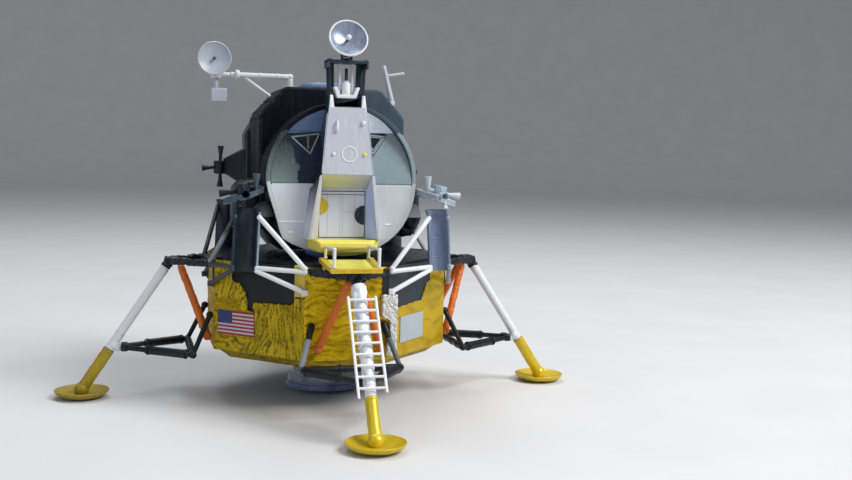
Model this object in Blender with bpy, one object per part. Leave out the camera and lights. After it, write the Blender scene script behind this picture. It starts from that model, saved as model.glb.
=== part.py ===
"""Display model of a lunar module at 1:48, built as separate named pieces.

Frame: metres, +Z up, ground at Z = 0 under the four footpads. The hatch, ladder and
porch face -Y, so +X is to the right of someone looking at the hatch. All the lengths
below are in millimetres of the model and become metres when the meshes are finished.
"""
import bpy
import bmesh
import math
from mathutils import Matrix, Vector

for old in list(bpy.data.objects):
    bpy.data.objects.remove(old, do_unlink=True)

MM = 0.001
GAP = 0.1                      # clearance left between pieces that rest on each other

# ---- descent stage -----------------------------------------------------------------
ARM = 42.6                     # centre to the flat end faces of the four leg bays
BAY = 14.8                     # half width of a leg bay
BODY_Z = (19.0, 51.0)          # underside and top of the gold body
SKIRT_Z = 15.6                 # underside of the sloped base tray
DECK_TOP = 52.0
BELL_EXIT = (14.4, 2.0)        # radius and height of the engine bell's rim

# ---- landing gear, one leg in (r outwards, t sideways, z) ---------------------------
STRUT_TOP = (57.5, 49.0)
PAD_CENTRE = (88.0, 3.0)
PAD_RADIUS = 9.6
STRUT_R = 1.6
PISTON_R = 1.95
BRACE_R = 1.25
LINK_R = 0.85
KNEE = (50.0, 17.0, 17.5)      # outer corner of the side frame

# ---- ascent stage --------------------------------------------------------------------
CABIN_Z = 80.5                 # height of the crew cabin's centre line
CABIN_R = 26.7
CABIN_WALL = 1.6
FACE_Y = -30.0                 # plane of the round front
CABIN_BACK = -11.0             # where the cabin meets the mid section
MID_BACK = 20.0
AFT_BACK = 32.0
AFT_HALF = 28.2
MID_HALF = 26.5
MID_TOP = 113.0
SPLIT_Z = 79.0                 # line between upper and lower front
WINDOW_Z = 97.0                # top of the window facets
WINDOW_DEPTH = 3.5             # how far the facets lean back at the top
BEAM_TOP = 105.2
EAR_TOP = 109.4
HATCH = (8.0, 60.3, 76.2)      # half width, bottom, top
RADAR = (0.0, -33.5, 128.7)    # centre of the tracking dish
RADAR_UP = math.radians(22)     # how far it looks up
RADAR_TILT_Z = 123.2           # height of its trunnion
SBAND = (-41.4, 0.0, 117.2)    # where the steerable antenna turns on its boom
QUAD_FRONT = (34.2, -32.4, 76.2)  # front thruster cluster, mirrored to the left
QUAD_REAR = (36.8, 33.0, 83.0)    # rear thruster cluster, mirrored to the left
SHELF_Z, SHELF_DROP = 77.4, 0.31  # top of a front cluster's shelf at the cabin, and its fall outwards
CHUTE = (33.6, 35.5)           # plume deflector centre in plan, mirrored to four corners

SIDES = 20                     # facets of a visible round tube


# ---- materials -------------------------------------------------------------------------
def finish(name, colour, rough, metal):
    m = bpy.data.materials.new(name)
    m.use_nodes = True
    b = m.node_tree.nodes["Principled BSDF"]
    b.inputs["Base Color"].default_value = (*colour, 1.0)
    b.inputs["Roughness"].default_value = rough
    b.inputs["Metallic"].default_value = metal
    m.diffuse_color = (*colour, 1.0)
    return m


GOLD = finish("gold_foil_paint", (0.62, 0.42, 0.03), 0.35, 0.5)
BLACK = finish("satin_black", (0.012, 0.016, 0.022), 0.4, 0.0)
WHITE = finish("white_paint", (0.80, 0.83, 0.85), 0.35, 0.0)
PALE = finish("pale_grey_paint", (0.50, 0.53, 0.57), 0.4, 0.0)
SLATE = finish("slate_grey_paint", (0.10, 0.14, 0.17), 0.35, 0.0)
ORANGE = finish("burnt_orange_paint", (0.52, 0.13, 0.03), 0.45, 0.0)
SMOKE = finish("smoked_pane", (0.008, 0.014, 0.018), 0.08, 0.0)
SILVER = finish("crinkled_silver", (0.70, 0.71, 0.69), 0.4, 0.3)


# ---- shape helpers: each returns an object in millimetres -------------------------------
def solid(verts, faces, name="work"):
    me = bpy.data.meshes.new(name)
    me.from_pydata([tuple(v) for v in verts], [], faces)
    bm = bmesh.new()
    bm.from_mesh(me)
    bmesh.ops.recalc_face_normals(bm, faces=bm.faces)
    bm.to_mesh(me)
    bm.free()
    ob = bpy.data.objects.new(name, me)
    bpy.context.scene.collection.objects.link(ob)
    return ob


def rings(sections):
    """Closed solid through rings of equal point count, with flat end caps."""
    n = len(sections[0])
    verts = [p for ring in sections for p in ring]
    faces = [tuple(range(n))[::-1]]
    for k in range(len(sections) - 1):
        for i in range(n):
            j = (i + 1) % n
            faces.append((k * n + i, k * n + j, (k + 1) * n + j, (k + 1) * n + i))
    faces.append(tuple(range((len(sections) - 1) * n, len(sections) * n)))
    return solid(verts, faces)


def prism(outline, axis, lo, hi):
    """Outline in the plane across axis: (y, z) for x, (x, z) for y, (x, y) for z."""
    place = {"x": lambda a, b, c: (c, a, b), "y": lambda a, b, c: (a, c, b), "z": lambda a, b, c: (a, b, c)}[axis]
    return rings([[place(a, b, c) for a, b in outline] for c in (lo, hi)])


def box(x, y, z):
    return prism([(x[0], y[0]), (x[1], y[0]), (x[1], y[1]), (x[0], y[1])], "z", *z)


def across(d):
    d = Vector(d).normalized()
    u = d.cross(Vector((0, 0, 1)) if abs(d.z) < 0.95 else Vector((1, 0, 0))).normalized()
    return u, d.cross(u)


def tube(a, b, r, r2=None, n=12, phase=0.5):
    a, b = Vector(a), Vector(b)
    u, v = across(b - a)
    out = []
    for p, q in ((a, r), (b, r if r2 is None else r2)):
        out.append([p + (u * math.cos(w) + v * math.sin(w)) * q for w in ((i + phase) * 2 * math.pi / n for i in range(n))])
    return rings(out)


def turned(profile, centre, axis, n=SIDES):
    """Solid of revolution: profile is (radius, height) from the low pole to the high pole."""
    c, d = Vector(centre), Vector(axis).normalized()
    u, v = across(d)
    verts, rows = [], []
    for r, h in profile:
        if r < 1e-6:
            rows.append([len(verts)] * n)
            verts.append(c + d * h)
        else:
            rows.append(list(range(len(verts), len(verts) + n)))
            verts += [c + d * h + (u * math.cos(w) + v * math.sin(w)) * r for w in (i * 2 * math.pi / n for i in range(n))]
    faces = []
    for a, b in zip(rows, rows[1:]):
        for i in range(n):
            j = (i + 1) % n
            f = list(dict.fromkeys((a[i], a[j], b[j], b[i])))
            if len(f) > 2:
                faces.append(tuple(f))
    return solid(verts, faces)


def ball(c, r, n=12, m=6):
    return turned([(r * math.sin(math.pi * k / m), -r * math.cos(math.pi * k / m)) for k in range(m + 1)], c, (0, 0, 1), n)


def hull(points):
    me = bpy.data.meshes.new("work")
    bm = bmesh.new()
    for p in points:
        bm.verts.new(p)
    bmesh.ops.convex_hull(bm, input=bm.verts)
    bmesh.ops.delete(bm, geom=[v for v in bm.verts if not v.link_faces], context="VERTS")
    bmesh.ops.recalc_face_normals(bm, faces=bm.faces)
    bm.to_mesh(me)
    bm.free()
    ob = bpy.data.objects.new("work", me)
    bpy.context.scene.collection.objects.link(ob)
    return ob


def combine(first, others, how="UNION"):
    for other in others:
        mod = first.modifiers.new("b", "BOOLEAN")
        mod.operation, mod.solver, mod.object = how, "EXACT", other
        bpy.context.view_layer.update()
        me = bpy.data.meshes.new_from_object(first.evaluated_get(bpy.context.evaluated_depsgraph_get()))
        first.modifiers.clear()
        first.data = me
        bpy.data.objects.remove(other, do_unlink=True)
    return first


def union(*parts):
    return combine(parts[0], parts[1:])


def group(*parts):
    """One mesh from shapes that don't touch each other, ready for a Boolean."""
    bm = bmesh.new()
    for part in parts:
        bm.from_mesh(part.data)
    bm.to_mesh(parts[0].data)
    bm.free()
    for part in parts[1:]:
        bpy.data.objects.remove(part, do_unlink=True)
    return parts[0]


def cut(body, *cutters):
    return combine(body, cutters, "DIFFERENCE")


NODES = {}


def node(name, ob, mat, pivot=(0, 0, 0)):
    """Names a finished piece, puts its origin on its pivot and turns it into metres."""
    ob.name = ob.data.name = name
    ob.data.transform(Matrix.Translation(-Vector(pivot)))
    ob.data.transform(Matrix.Scale(MM, 4))
    ob.location = Vector(pivot) * MM
    ob.data.materials.clear()
    ob.data.materials.append(mat)
    ob.data.shade_smooth()
    ob.data.set_sharp_from_angle(angle=math.radians(35))
    NODES[name] = ob
    return ob


def octagon(arm, bay):
    return [(-bay, -arm), (bay, -arm), (arm, -bay), (arm, bay), (bay, arm), (-bay, arm), (-arm, bay), (-arm, -bay)]


# ---- descent stage ------------------------------------------------------------------------
node("descent_body", prism(octagon(ARM, BAY), "z", *BODY_Z), GOLD)
tray = [[(x, y, z) for x, y in octagon(ARM - inset, BAY - inset * 0.41)] for inset, z in ((6.0, SKIRT_Z), (2.0, BODY_Z[0] - GAP))]
node("base_tray", rings(tray), GOLD)
node("upper_deck", prism(octagon(ARM - 0.6, BAY - 0.2), "z", BODY_Z[1] + GAP, DECK_TOP), BLACK)

bell_outer = [(BELL_EXIT[0], BELL_EXIT[1]), (13.4, 5.2), (11.4, 8.8), (8.6, 12.0), (5.6, SKIRT_Z - GAP)]
bell_inner = [(3.6, SKIRT_Z - 2.4), (7.4, 11.6), (10.4, 8.4), (12.5, 4.9), (BELL_EXIT[0] - 0.8, BELL_EXIT[1])]
node("descent_engine_bell", turned([(0, SKIRT_Z - 2.4)] + bell_inner + bell_outer + [(0, SKIRT_Z - GAP)], (0, 0, 0), (0, 0, 1), 32), SLATE)

pack = [(13.6, 20.6), (17.0, 20.6), (17.0, 41.5), (11.8, 41.5), (11.8, 34.2), (14.6, 32.8), (14.6, 26.0), (13.6, 24.5)]
node("equipment_pack", prism(pack, "y", -44.7, -ARM - GAP), SILVER)


# ---- landing gear ----------------------------------------------------------------------------
# name, direction, share of the strut that is the upper cylinder
LEGS = (("front", 0, -1, 0.75), ("right", 1, 0, 0.69), ("rear", 0, 1, 0.69), ("left", -1, 0, 0.69))
for side, dx, dy, share in LEGS:
    def at(r, t, z, dx=dx, dy=dy):
        return Vector((dx * r - dy * t, dy * r + dx * t, z))

    def beam(a, b, w, h, at=at):
        """Square-section bar between two points of the leg's plane, level in z."""
        (ra, ta, za), (rb, tb, zb) = a, b
        d = Vector((rb - ra, tb - ta)).normalized()
        s = Vector((-d.y, d.x)) * w / 2
        corners = [(ra + s.x, ta + s.y, za), (ra - s.x, ta - s.y, za), (rb - s.x, tb - s.y, zb), (rb + s.x, tb + s.y, zb)]
        return hull([at(r, t, z + k) for r, t, z in corners for k in (-h / 2, h / 2)])

    top, pad = at(STRUT_TOP[0], 0, STRUT_TOP[1]), at(PAD_CENTRE[0], 0, PAD_CENTRE[1])
    run = (pad - top).normalized()
    split = top + (pad - top) * share
    head = top + run * 2.85
    inner = ARM + GAP + 0.1
    node(f"outrigger_{side}", union(
        beam((inner + 1.1, 12.6, 49.4), (57.6, 1.4, 49.4), 2.2, 2.2),
        beam((inner + 1.1, -12.6, 49.4), (57.6, -1.4, 49.4), 2.2, 2.2),
        beam((inner, 0, 49.4), (inner + 2.0, 0, 49.4), 27.0, 2.4),
        hull([at(r, t, z) for r in (54.6, 59.0) for t in (-2.6, 2.6) for z in (48.0, 50.6)]), tube(top, top + run * 2.75, 1.7, n=14)), BLACK)
    lug = union(tube(at(74.7, 0, 17.9), at(77.4, 0, 17.9), 1.25, n=12), tube(at(77.4, 0, 17.9) - run * 2.4, at(77.4, 0, 17.9) - run * 0.2, 1.2, n=12))
    node(f"primary_strut_{side}", union(tube(head, split - run * 0.05, STRUT_R, n=SIDES), lug), WHITE)
    saucer = [(0, 0), (4.6, 0), (7.4, 0.7), (9.1, 1.8), (PAD_RADIUS, 2.8), (9.3, 3.0), (8.4, 2.5), (5.8, 1.7), (2.4, 1.5), (0, 1.5)]
    dish = turned(saucer, at(PAD_CENTRE[0], 0, 0), (0, 0, 1), 28)
    node(f"footpad_{side}", union(dish, ball(pad, 2.6, 14, 7), tube(split + run * 0.05, pad, PISTON_R, n=SIDES)), GOLD)
    foot_l = 10.4 if side == "front" else 11.4
    node(f"brace_{side}", union(
        tube(at(53.2, 2.2, 46.4), at(44.6, 11.4, 23.2), BRACE_R),
        tube(at(53.2, -2.2, 46.4), at(44.6, -foot_l, 23.2), BRACE_R),
        hull([at(r, t, z) for r in (52.2, 54.4) for t in (-3.4, 3.4) for z in (45.4, 47.7)]),
        ball(at(44.6, 11.4, 23.2), 1.5, 12, 6), ball(at(44.6, -foot_l, 23.2), 1.5, 12, 6)), ORANGE)
    kr, kt, kz = KNEE
    yoke = 73.6
    node(f"side_frame_{side}", union(
        tube(at(43.9, 12.6, 31.0), at(kr, kt, kz), LINK_R), tube(at(43.9, -12.6, 31.0), at(kr, -kt, kz), LINK_R),
        tube(at(kr, kt + 0.6, kz), at(kr, -kt - 0.6, kz), 1.25),
        *[tube(at(kr, t * kt, kz), at(yoke, t * 1.6, 18.0), 0.95) for t in (-1, 1)],
        *[tube(at(kr + (yoke - kr) * a, t * (kt + (1.6 - kt) * a), kz + (18.0 - kz) * a), at(kr + (yoke - kr) * b, t * (kt + (1.6 - kt) * b), kz + (18.0 - kz) * b), 1.5, n=14)
          for t in (-1, 1) for a, b in ((0.08, 0.68),)],
        hull([at(r, t, z) for r in (yoke - 1.6, yoke + 0.9) for t in (-3.0, 3.0) for z in (16.7, 19.3)]),
        ball(at(43.9, 12.6, 31.0), 1.15, 10, 6), ball(at(43.9, -12.6, 31.0), 1.15, 10, 6)), BLACK)

# ladder on the front strut: nine rungs between two rails
RUNGS, RUNG_TOP, RUNG_BOTTOM, RAIL_X = 9, 43.0, 17.9, 4.5
LADDER_OFF = 3.6                                   # rails stand this far in front of the strut's line


def strut_y(z):
    return -(STRUT_TOP[0] + (STRUT_TOP[1] - z) * (PAD_CENTRE[0] - STRUT_TOP[0]) / (STRUT_TOP[1] - PAD_CENTRE[1])) - LADDER_OFF


def rail(x, lo, hi):
    return hull([(x + sx, strut_y(z) + sy, z) for z in (lo, hi) for sx in (-0.45, 0.45) for sy in (-0.6, 0.6)])


rungs = [tube((-RAIL_X - 0.13, strut_y(z), z), (RAIL_X + 0.13, strut_y(z), z), 0.45, n=8)
         for z in (RUNG_TOP + (RUNG_BOTTOM - RUNG_TOP) * k / (RUNGS - 1) for k in range(RUNGS))]
node("ladder", union(group(rail(-RAIL_X, RUNG_BOTTOM - 2.6, RUNG_TOP + 1.0), rail(RAIL_X, RUNG_BOTTOM - 1.2, RUNG_TOP + 1.0)), group(*rungs)), WHITE)

# porch in front of the hatch: a shallow tray that falls towards the ladder, on two short feet, with two handrails
PORCH_X, PORCH_Y, PORCH_Z, PORCH_T = -1.0, (-61.6, -43.4), (52.6, 54.45), 1.65


def porch_top(y):
    return PORCH_Z[0] + (PORCH_Z[1] - PORCH_Z[0]) * (y - PORCH_Y[0]) / (PORCH_Y[1] - PORCH_Y[0])


porch = hull([(PORCH_X + sx * w, y, porch_top(y) - t) for y, w in ((PORCH_Y[0], 8.6), (PORCH_Y[1], 9.4)) for sx in (-1, 1) for t in (0, PORCH_T)])
tray_cut = hull([(PORCH_X + sx * 6.6, y, porch_top(y) + dz) for y in (PORCH_Y[0] + 1.0, PORCH_Y[1] + 3) for sx in (-1, 1) for dz in (-0.7, 2.0)])
porch = union(cut(porch, tray_cut), *[box((x - 0.8, x + 0.8), (y - 0.8, y + 0.8), (49.4 + 1.1 + GAP, porch_top(y) - 1.2)) for x, y in ((-9.0, -48.3), (7.0, -50.7))])
node("egress_porch", porch, GOLD)
for side, sx in (("left", -1), ("right", 1)):
    x, front, rear, z1 = PORCH_X + sx * 7.4, -60.9, -45.2, 58.8
    zf, zr = porch_top(front - 0.6) + GAP, porch_top(rear - 0.6) + GAP
    node(f"porch_rail_{side}", union(
        tube((x, front, zf + 0.1), (x, front, z1), 0.55, n=10), tube((x, rear, zr + 0.1), (x, rear, z1 - 0.6), 0.5, n=10),
        tube((x, front, z1 - 0.1), (x, rear, z1 - 0.7), 0.48, n=10),
        ball((x, front, z1), 0.58, 10, 6), ball((x, rear, z1 - 0.6), 0.56, 10, 6)), WHITE)

# plume deflectors: an open chute under each thruster cluster, on struts from two corners of the body
CORNERS = (("front_left", -1, -1), ("front_right", 1, -1), ("rear_left", -1, 1), ("rear_right", 1, 1))
CHUTE_Z, CHUTE_R, CHUTE_WALL = (48.6, 70.4), 4.3, 0.7
for corner, sx, sy in CORNERS:
    turn = math.atan2(0.94 * sy, 0.35 * sx)                      # the way the chute opens
    arc = [turn + math.radians(a) for a in range(88, 273, 23)]   # the closed side of the chute
    levels = []
    for z, lean in ((CHUTE_Z[0], 1.0), (CHUTE_Z[1], 0.0)):
        cx, cy = sx * (CHUTE[0] + lean), sy * (CHUTE[1] + lean)
        levels.append([(cx + math.cos(a) * r, cy + math.sin(a) * r, z)
                       for r, path in ((CHUTE_R, arc), (CHUTE_R - CHUTE_WALL, arc[::-1])) for a in path])
    near = Vector((sx * 29.5, sy * 37.0, 0))                     # chute edge beside the front or rear bay
    far = Vector((sx * 37.4, sy * 33.9, 0))                      # chute edge beside the side bay
    parts = [rings(levels)]
    for edge, foot in ((near, Vector((sx * 15.0, sy * 43.9, 0))), (far, Vector((sx * 43.9, sy * 15.0, 0)))):
        low = Vector((sx * 0.9, sy * 0.9, 0))
        for z0, z1 in ((67.5, 50.6), (50.4, 49.6), (49.4, 42.6)):
            lean = low * (1 - (z0 - CHUTE_Z[0]) / (CHUTE_Z[1] - CHUTE_Z[0]))
            parts.append(tube(edge + lean + Vector((0, 0, z0)), foot + Vector((0, 0, z1)), 0.8, n=10))
    node(f"plume_deflector_{corner}", union(*parts), SLATE)

# ---- ascent stage ------------------------------------------------------------------------------
mid = [(-19.0, 54.2), (19.0, 54.2), (MID_HALF, 63.0), (MID_HALF, 103.0), (17.5, MID_TOP), (-17.5, MID_TOP), (-MID_HALF, 103.0), (-MID_HALF, 63.0)]
node("mid_section", prism(mid, "y", CABIN_BACK, MID_BACK), BLACK)
aft = [(-22.0, 58.0), (22.0, 58.0), (AFT_HALF, 63.0), (AFT_HALF, 97.0), (25.0, 102.6), (18.0, 107.6), (-18.0, 107.6), (-25.0, 102.6), (-AFT_HALF, 97.0), (-AFT_HALF, 63.0)]
node("aft_equipment_bay", prism(aft, "y", MID_BACK + GAP, AFT_BACK), SLATE)


# how far the cabin's lower left quarter stands out from its circle: a straight side and a squarer corner
LOWER_LEFT = ((180, 0.0), (190, -0.45), (198, -0.7), (206, -0.4), (213.6, 0.4), (220, 1.7), (225, 2.6), (229, 2.35), (236, 1.5), (245, 0.7), (256, 0.2), (270, 0.0))


def swell(a):
    deg = math.degrees(a)
    if deg <= 180:
        return 0.0
    for (d0, s0), (d1, s1) in zip(LOWER_LEFT, LOWER_LEFT[1:]):
        if deg <= d1:
            return s0 + (s1 - s0) * (deg - d0) / (d1 - d0)
    return 0.9 * math.sin(2 * a) ** 2


def round_y(r, y0, y1, n=48):
    """Round section that is squarer at its lower corners."""
    def at_angle(a):
        q = r + swell(a)
        return q * math.cos(a), CABIN_Z + q * math.sin(a)

    return prism([at_angle(2 * math.pi * i / n) for i in range(n)], "y", y0, y1)


pods = []
for sx in (-1, 1):
    pod = ball((0, 0, 0), 4.2, 14, 8)
    pod.data.transform(Matrix.Translation((sx * 26.9, -23.6, 67.0)) @ Matrix.Diagonal((1.0, 1.0, 1.3, 1.0)))
    pods.append(pod)
node("cabin_shell", cut(union(round_y(CABIN_R, FACE_Y, CABIN_BACK - GAP), *pods), round_y(CABIN_R - CABIN_WALL, FACE_Y - 5, CABIN_BACK + 5)), BLACK)

# the front is one bent plate: flat below, facets that lean back to the window tops, and a brow
FACE_T = 1.6
lean_y = FACE_Y + WINDOW_DEPTH
bent = [(FACE_Y, 50.0), (FACE_Y, SPLIT_Z), (lean_y, WINDOW_Z), (FACE_Y, 104.6), (FACE_Y, 112.0),
        (FACE_Y + FACE_T, 112.0), (FACE_Y + FACE_T, 105.6), (lean_y + FACE_T + 0.3, WINDOW_Z + 0.1), (FACE_Y + FACE_T, SPLIT_Z - 0.3), (FACE_Y + FACE_T, 50.0)]
front = combine(prism(bent, "x", -40, 40), [round_y(CABIN_R - CABIN_WALL - GAP, FACE_Y - 10, FACE_Y + 12)], "INTERSECT")
half, low, high = HATCH
front = cut(front, box((-half - 0.3, half + 0.3), (FACE_Y - 5, FACE_Y + 6), (low - 0.3, high + 0.3)))
PANES = (("left", [(-17.4, 95.8), (-7.6, 96.4), (-10.9, 89.4)]), ("right", [(15.7, 95.8), (7.6, 96.4), (11.1, 89.5)]))   # (x, z)
for side, pane in PANES:
    mids = (sum(p[0] for p in pane) / 3, sum(p[1] for p in pane) / 3)
    hole = [(x + (x - mids[0]) * 0.05, z + (z - mids[1]) * 0.05) for x, z in pane]
    front = cut(front, prism(hole, "y", FACE_Y - 3, FACE_Y + 12))
    # the pane lies in the facet's own slope, a touch proud of it
    tilt = WINDOW_DEPTH / (WINDOW_Z - SPLIT_Z)
    skin = [[(x, FACE_Y + (z - SPLIT_Z) * tilt + off, z) for x, z in pane] for off in (-0.15, 1.2)]
    node(f"window_{side}", rings(skin), SMOKE)
node("cabin_front", front, PALE)

# the beam above the hatch that carries the radar, with the two ears at its top
side_view = [(-39.2, 82.4), (FACE_Y - GAP, 77.3), (FACE_Y - GAP, SPLIT_Z + 0.1), (lean_y - GAP - 0.1, WINDOW_Z), (FACE_Y - GAP, 104.4), (FACE_Y - GAP, EAR_TOP), (-36.4, EAR_TOP), (-37.0, BEAM_TOP)]
front_view = [(-9.6, 77.0), (9.6, 77.0), (6.1, 110.0), (-6.1, 110.0)]
front_beam = combine(prism(side_view, "x", -12, 12), [prism(front_view, "y", -45, -20)], "INTERSECT")
front_beam = cut(front_beam, prism([(-5.2, 112.0), (5.2, 112.0), (4.6, BEAM_TOP), (-4.6, BEAM_TOP)], "y", -40, -20))
node("front_beam", front_beam, PALE)

back = FACE_Y - GAP
for side, sx in (("left", -1), ("right", 1)):
    sections = []
    for z, inner_y, inner_x in ((59.8, -35.0, 11.7), (82.2, -38.9, 8.6)):
        outer = inner_x + 0.9
        sections.append([(sx * 8.5, back, z), (sx * inner_x, inner_y, z), (sx * outer, inner_y, z), (sx * (outer + 1.3), back, z)])
    cheek = rings(sections)
    cheek = cut(cheek, prism([(-41.0, 83.2), (back + 1, 76.55), (back + 1, 86), (-41.0, 86)], "x", -20, 20))
    node(f"hatch_cheek_{side}", cheek, PALE)

sill = [(-12.6, 59.6), (12.6, 59.6)] + [(CABIN_R * math.sin(a), CABIN_Z - CABIN_R * math.cos(a)) for a in (math.radians(d) for d in (27, 18, 9, 0, -9, -18, -27))]
sill_side = [(back, 59.6), (-34.6, 59.6), (-35.8, 58.6), (-36.0, 57.2), (-35.2, 55.4), (-33.4, 54.0), (back, 53.0)]
sill_plan = [(-13.0, back + 1), (-13.0, -31.4), (-8.2, -36.2), (9.4, -36.2), (13.0, -32.6), (13.0, back + 1)]
node("hatch_sill", combine(prism(sill, "y", -38, back), [prism(sill_side, "x", -20, 20), prism(sill_plan, "z", 50, 62)], "INTERSECT"), GOLD)

node("docking_ring", turned([(0, 0), (10.6, 0), (9.8, 1.6), (8.6, 2.4), (6.2, 2.4), (5.2, 1.4), (0, 1.4)], (0, 4.0, MID_TOP + GAP), (0, 0, 1), 28), SLATE)

for side, sx in (("left", -1), ("right", 1)):
    x0 = sx * (MID_HALF + GAP)
    pod = [[(x0 + sx * w, y, z) for y, z in ((-9, 58.5), (15, 58.5), (18, 62), (18, 76), (14, 79.5), (-8, 79.5), (-10.6, 76), (-10.6, 62))] for w in (0,)]
    rim = [(x0 + sx * 8.2, 4 + (y - 4) * 0.66, 69 + (z - 69) * 0.7) for _, y, z in pod[0]]
    belt = [(x0 + sx * 5.6, 4 + (y - 4) * 0.92, 69 + (z - 69) * 0.93) for _, y, z in pod[0]]
    node(f"tank_fairing_{side}", rings([pod[0], belt, rim]), BLACK)

def nozzle(a, b, r=1.2):
    return tube(a, b, 0.75, r, n=12)


# front clusters: each sits on a sloped shelf that leaves the cabin's side above a plume deflector
for side, sx in (("left", -1), ("right", 1)):
    def shelf_z(x):
        return SHELF_Z - (x - 27.0) * SHELF_DROP

    plan = [(27.0, -28.6), (27.0, -14.0), (35.5, -21.5), (41.2, -31.4), (32.5, -37.6)]
    shelf = hull([(sx * x, y, shelf_z(x) - t) for x, y in plan for t in (0, 1.9)])
    qx, qy, qz = QUAD_FRONT
    block = tube((sx * qx, qy, shelf_z(qx) - 0.4), (sx * (qx + 0.9), qy, qz + 2.6), 2.6, n=8)
    arm = tube((sx * 30.4, qy - 0.9, qz + 1.0), (sx * qx, qy, qz + 0.6), 0.9, n=8)
    node(f"thruster_quad_front_{side}", union(
        shelf, block, arm, nozzle((sx * 30.5, qy - 0.9, shelf_z(30.5) - 0.4), (sx * 30.1, qy - 0.9, 82.0)),
        nozzle((sx * qx, qy, qz), (sx * 42.4, qy + 1.2, 75.2)), nozzle((sx * qx, qy, qz), (sx * (qx + 0.4), -40.2, 75.3)),
        nozzle((sx * 36.2, -34.4, shelf_z(36.2) - 1.0), (sx * 36.2, -34.6, 70.9))), SLATE)

# rear clusters: each stands out from the aft bay on a faired boom
for side, sx in (("left", -1), ("right", 1)):
    qx, qy, qz = QUAD_REAR
    x0 = AFT_HALF + GAP
    boom = hull([(sx * x0, y, z) for y, z in ((22.0, 76.0), (31.5, 76.0), (22.0, 90.6), (31.5, 90.6))]
                + [(sx * (qx - 1.2), y, z) for y in (qy - 1.8, qy + 1.8) for z in (qz - 2.2, qz + 3.4)])
    node(f"thruster_quad_rear_{side}", union(
        boom, tube((sx * qx, qy, qz - 2.6), (sx * qx, qy, qz + 2.6), 2.6, n=8),
        nozzle((sx * qx, qy, qz), (sx * (qx - 0.2), qy, qz + 8.4)), nozzle((sx * qx, qy, qz), (sx * (qx + 0.1), qy, qz - 7.6)),
        nozzle((sx * qx, qy, qz), (sx * (qx + 7.0), qy, qz - 0.4)), nozzle((sx * qx, qy, qz), (sx * qx, qy + 7.0, qz - 0.4))), SLATE)

# radar stand on the beam, and the two turning pieces of the tracking radar
rx, ry, rz = RADAR
stand = [box((-7.1, 7.1), (ry - 3.8, ry + 3.8), (120.2, 121.2)),
         box((-7.1, -6.3), (ry - 3.8, ry + 3.8), (118.4, 121.0)), box((6.3, 7.1), (ry - 3.8, ry + 3.8), (118.4, 121.0))]
stand += [tube((sx * 5.7, ry + dy, EAR_TOP + GAP), (sx * 6.2, ry + dy, 120.6), 0.42, n=8) for sx in (-1, 1) for dy in (-1.2, 2.9)]
cradle = [(-4.6, 112.2), (-3.3, 108.4), (3.3, 108.4), (4.6, 112.2), (3.4, 112.2), (2.4, 109.6), (-2.4, 109.6), (-3.4, 112.2)]
stand += [prism(cradle, "y", ry - 1.6, ry + 1.6), tube((0, ry, 109.2), (0, ry, 113.8), 1.5, n=14),
          tube((-2.2, ry + 0.6, 109.2), (-2.2, ry + 0.6, 120.6), 0.5, n=8), tube((2.2, ry + 0.6, 109.2), (2.2, ry + 0.6, 120.6), 0.5, n=8),
          box((-6.2, 6.2), (ry + 2.5, ry + 3.3), (109.7, 110.7)), box((-0.6, 0.6), (ry, ry + 3.0), (109.2, 110.4))]
node("radar_stand", union(*stand), SLATE)
node("radar_neck", union(
    tube((0, ry, 121.2 + GAP), (0, ry, 122.0), 1.9, n=16),
    box((-2.0, -1.2), (ry - 0.75, ry + 0.75), (121.6, 124.0)), box((1.2, 2.0), (ry - 0.75, ry + 0.75), (121.6, 124.0))), SLATE, (0, ry, 121.2))


def dish(centre, axis, r, depth, wall, n=28):
    """Shallow reflector: axis points the way it looks, centre is the middle of its rim plane."""
    ks = (0.0, 0.3, 0.6, 0.85, 1.0)
    outer = [(r * k, -depth * (1 - k * k) - wall) for k in ks]
    outer[-1] = (r, -wall)
    inner = [(r * k * 0.97 if k else 0.0, -depth * (1 - k * k)) for k in ks[::-1]]
    inner[0] = (r - wall * 0.8, 0.0)
    return turned(outer + [(r, 0.0)] + inner, centre, axis, n)


face_dir = Vector((0.0, -math.cos(RADAR_UP), math.sin(RADAR_UP)))
rim = Vector((rx, ry - 3.0, rz))
rear = rim - face_dir * 2.9
node("radar_dish", union(
    dish(rim, face_dir, 6.8, 2.2, 0.6), tube(rim - face_dir * 2.5, rim + face_dir * 1.2, 0.5, 0.35, n=10), ball(rim + face_dir * 1.3, 0.9, 10, 6),
    tube((0, ry, RADAR_TILT_Z), rear + Vector((0, 0.2, -0.2)), 0.75, n=10), tube((-0.95, ry, RADAR_TILT_Z), (0.95, ry, RADAR_TILT_Z), 0.85, n=12),
    tube(rear - face_dir * 0.4, rim - face_dir * 2.45, 1.25, 1.7, n=14)), PALE, (0, ry, RADAR_TILT_Z))

# steerable antenna on its boom
bx, by, bz = SBAND
boom = [tube((-14.3, by, MID_TOP + GAP), (-14.3, by, bz), 1.05, n=12), ball((-14.3, by, bz), 1.1, 12, 6), tube((-14.3, by, bz), (-36.2, by, bz), 1.0, n=12),
        tube((-32.9, by, bz), (-34.4, by, bz), 1.8, n=14), tube((-31.6, by, bz - 0.3), (-21.6, by, 109.9), 0.55, n=8),
        tube((-14.3, by, MID_TOP + GAP), (-14.3, by, MID_TOP + 0.9), 1.9, n=14)]
node("s_band_boom", union(*boom), PALE)
hub = cut(union(tube((-36.3, by, bz), (-39.6, by, bz), 0.8, n=12), tube((bx, by, bz - 1.4), (bx, by, bz + 1.4), 2.0, n=16)), tube((bx, by, bz - 3), (bx, by, bz + 3), 1.1, n=16))
node("s_band_hub", hub, PALE, (bx, by, bz))
sb_rim = Vector((bx - 0.8, by - 4.2, bz + 5.4))
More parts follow.
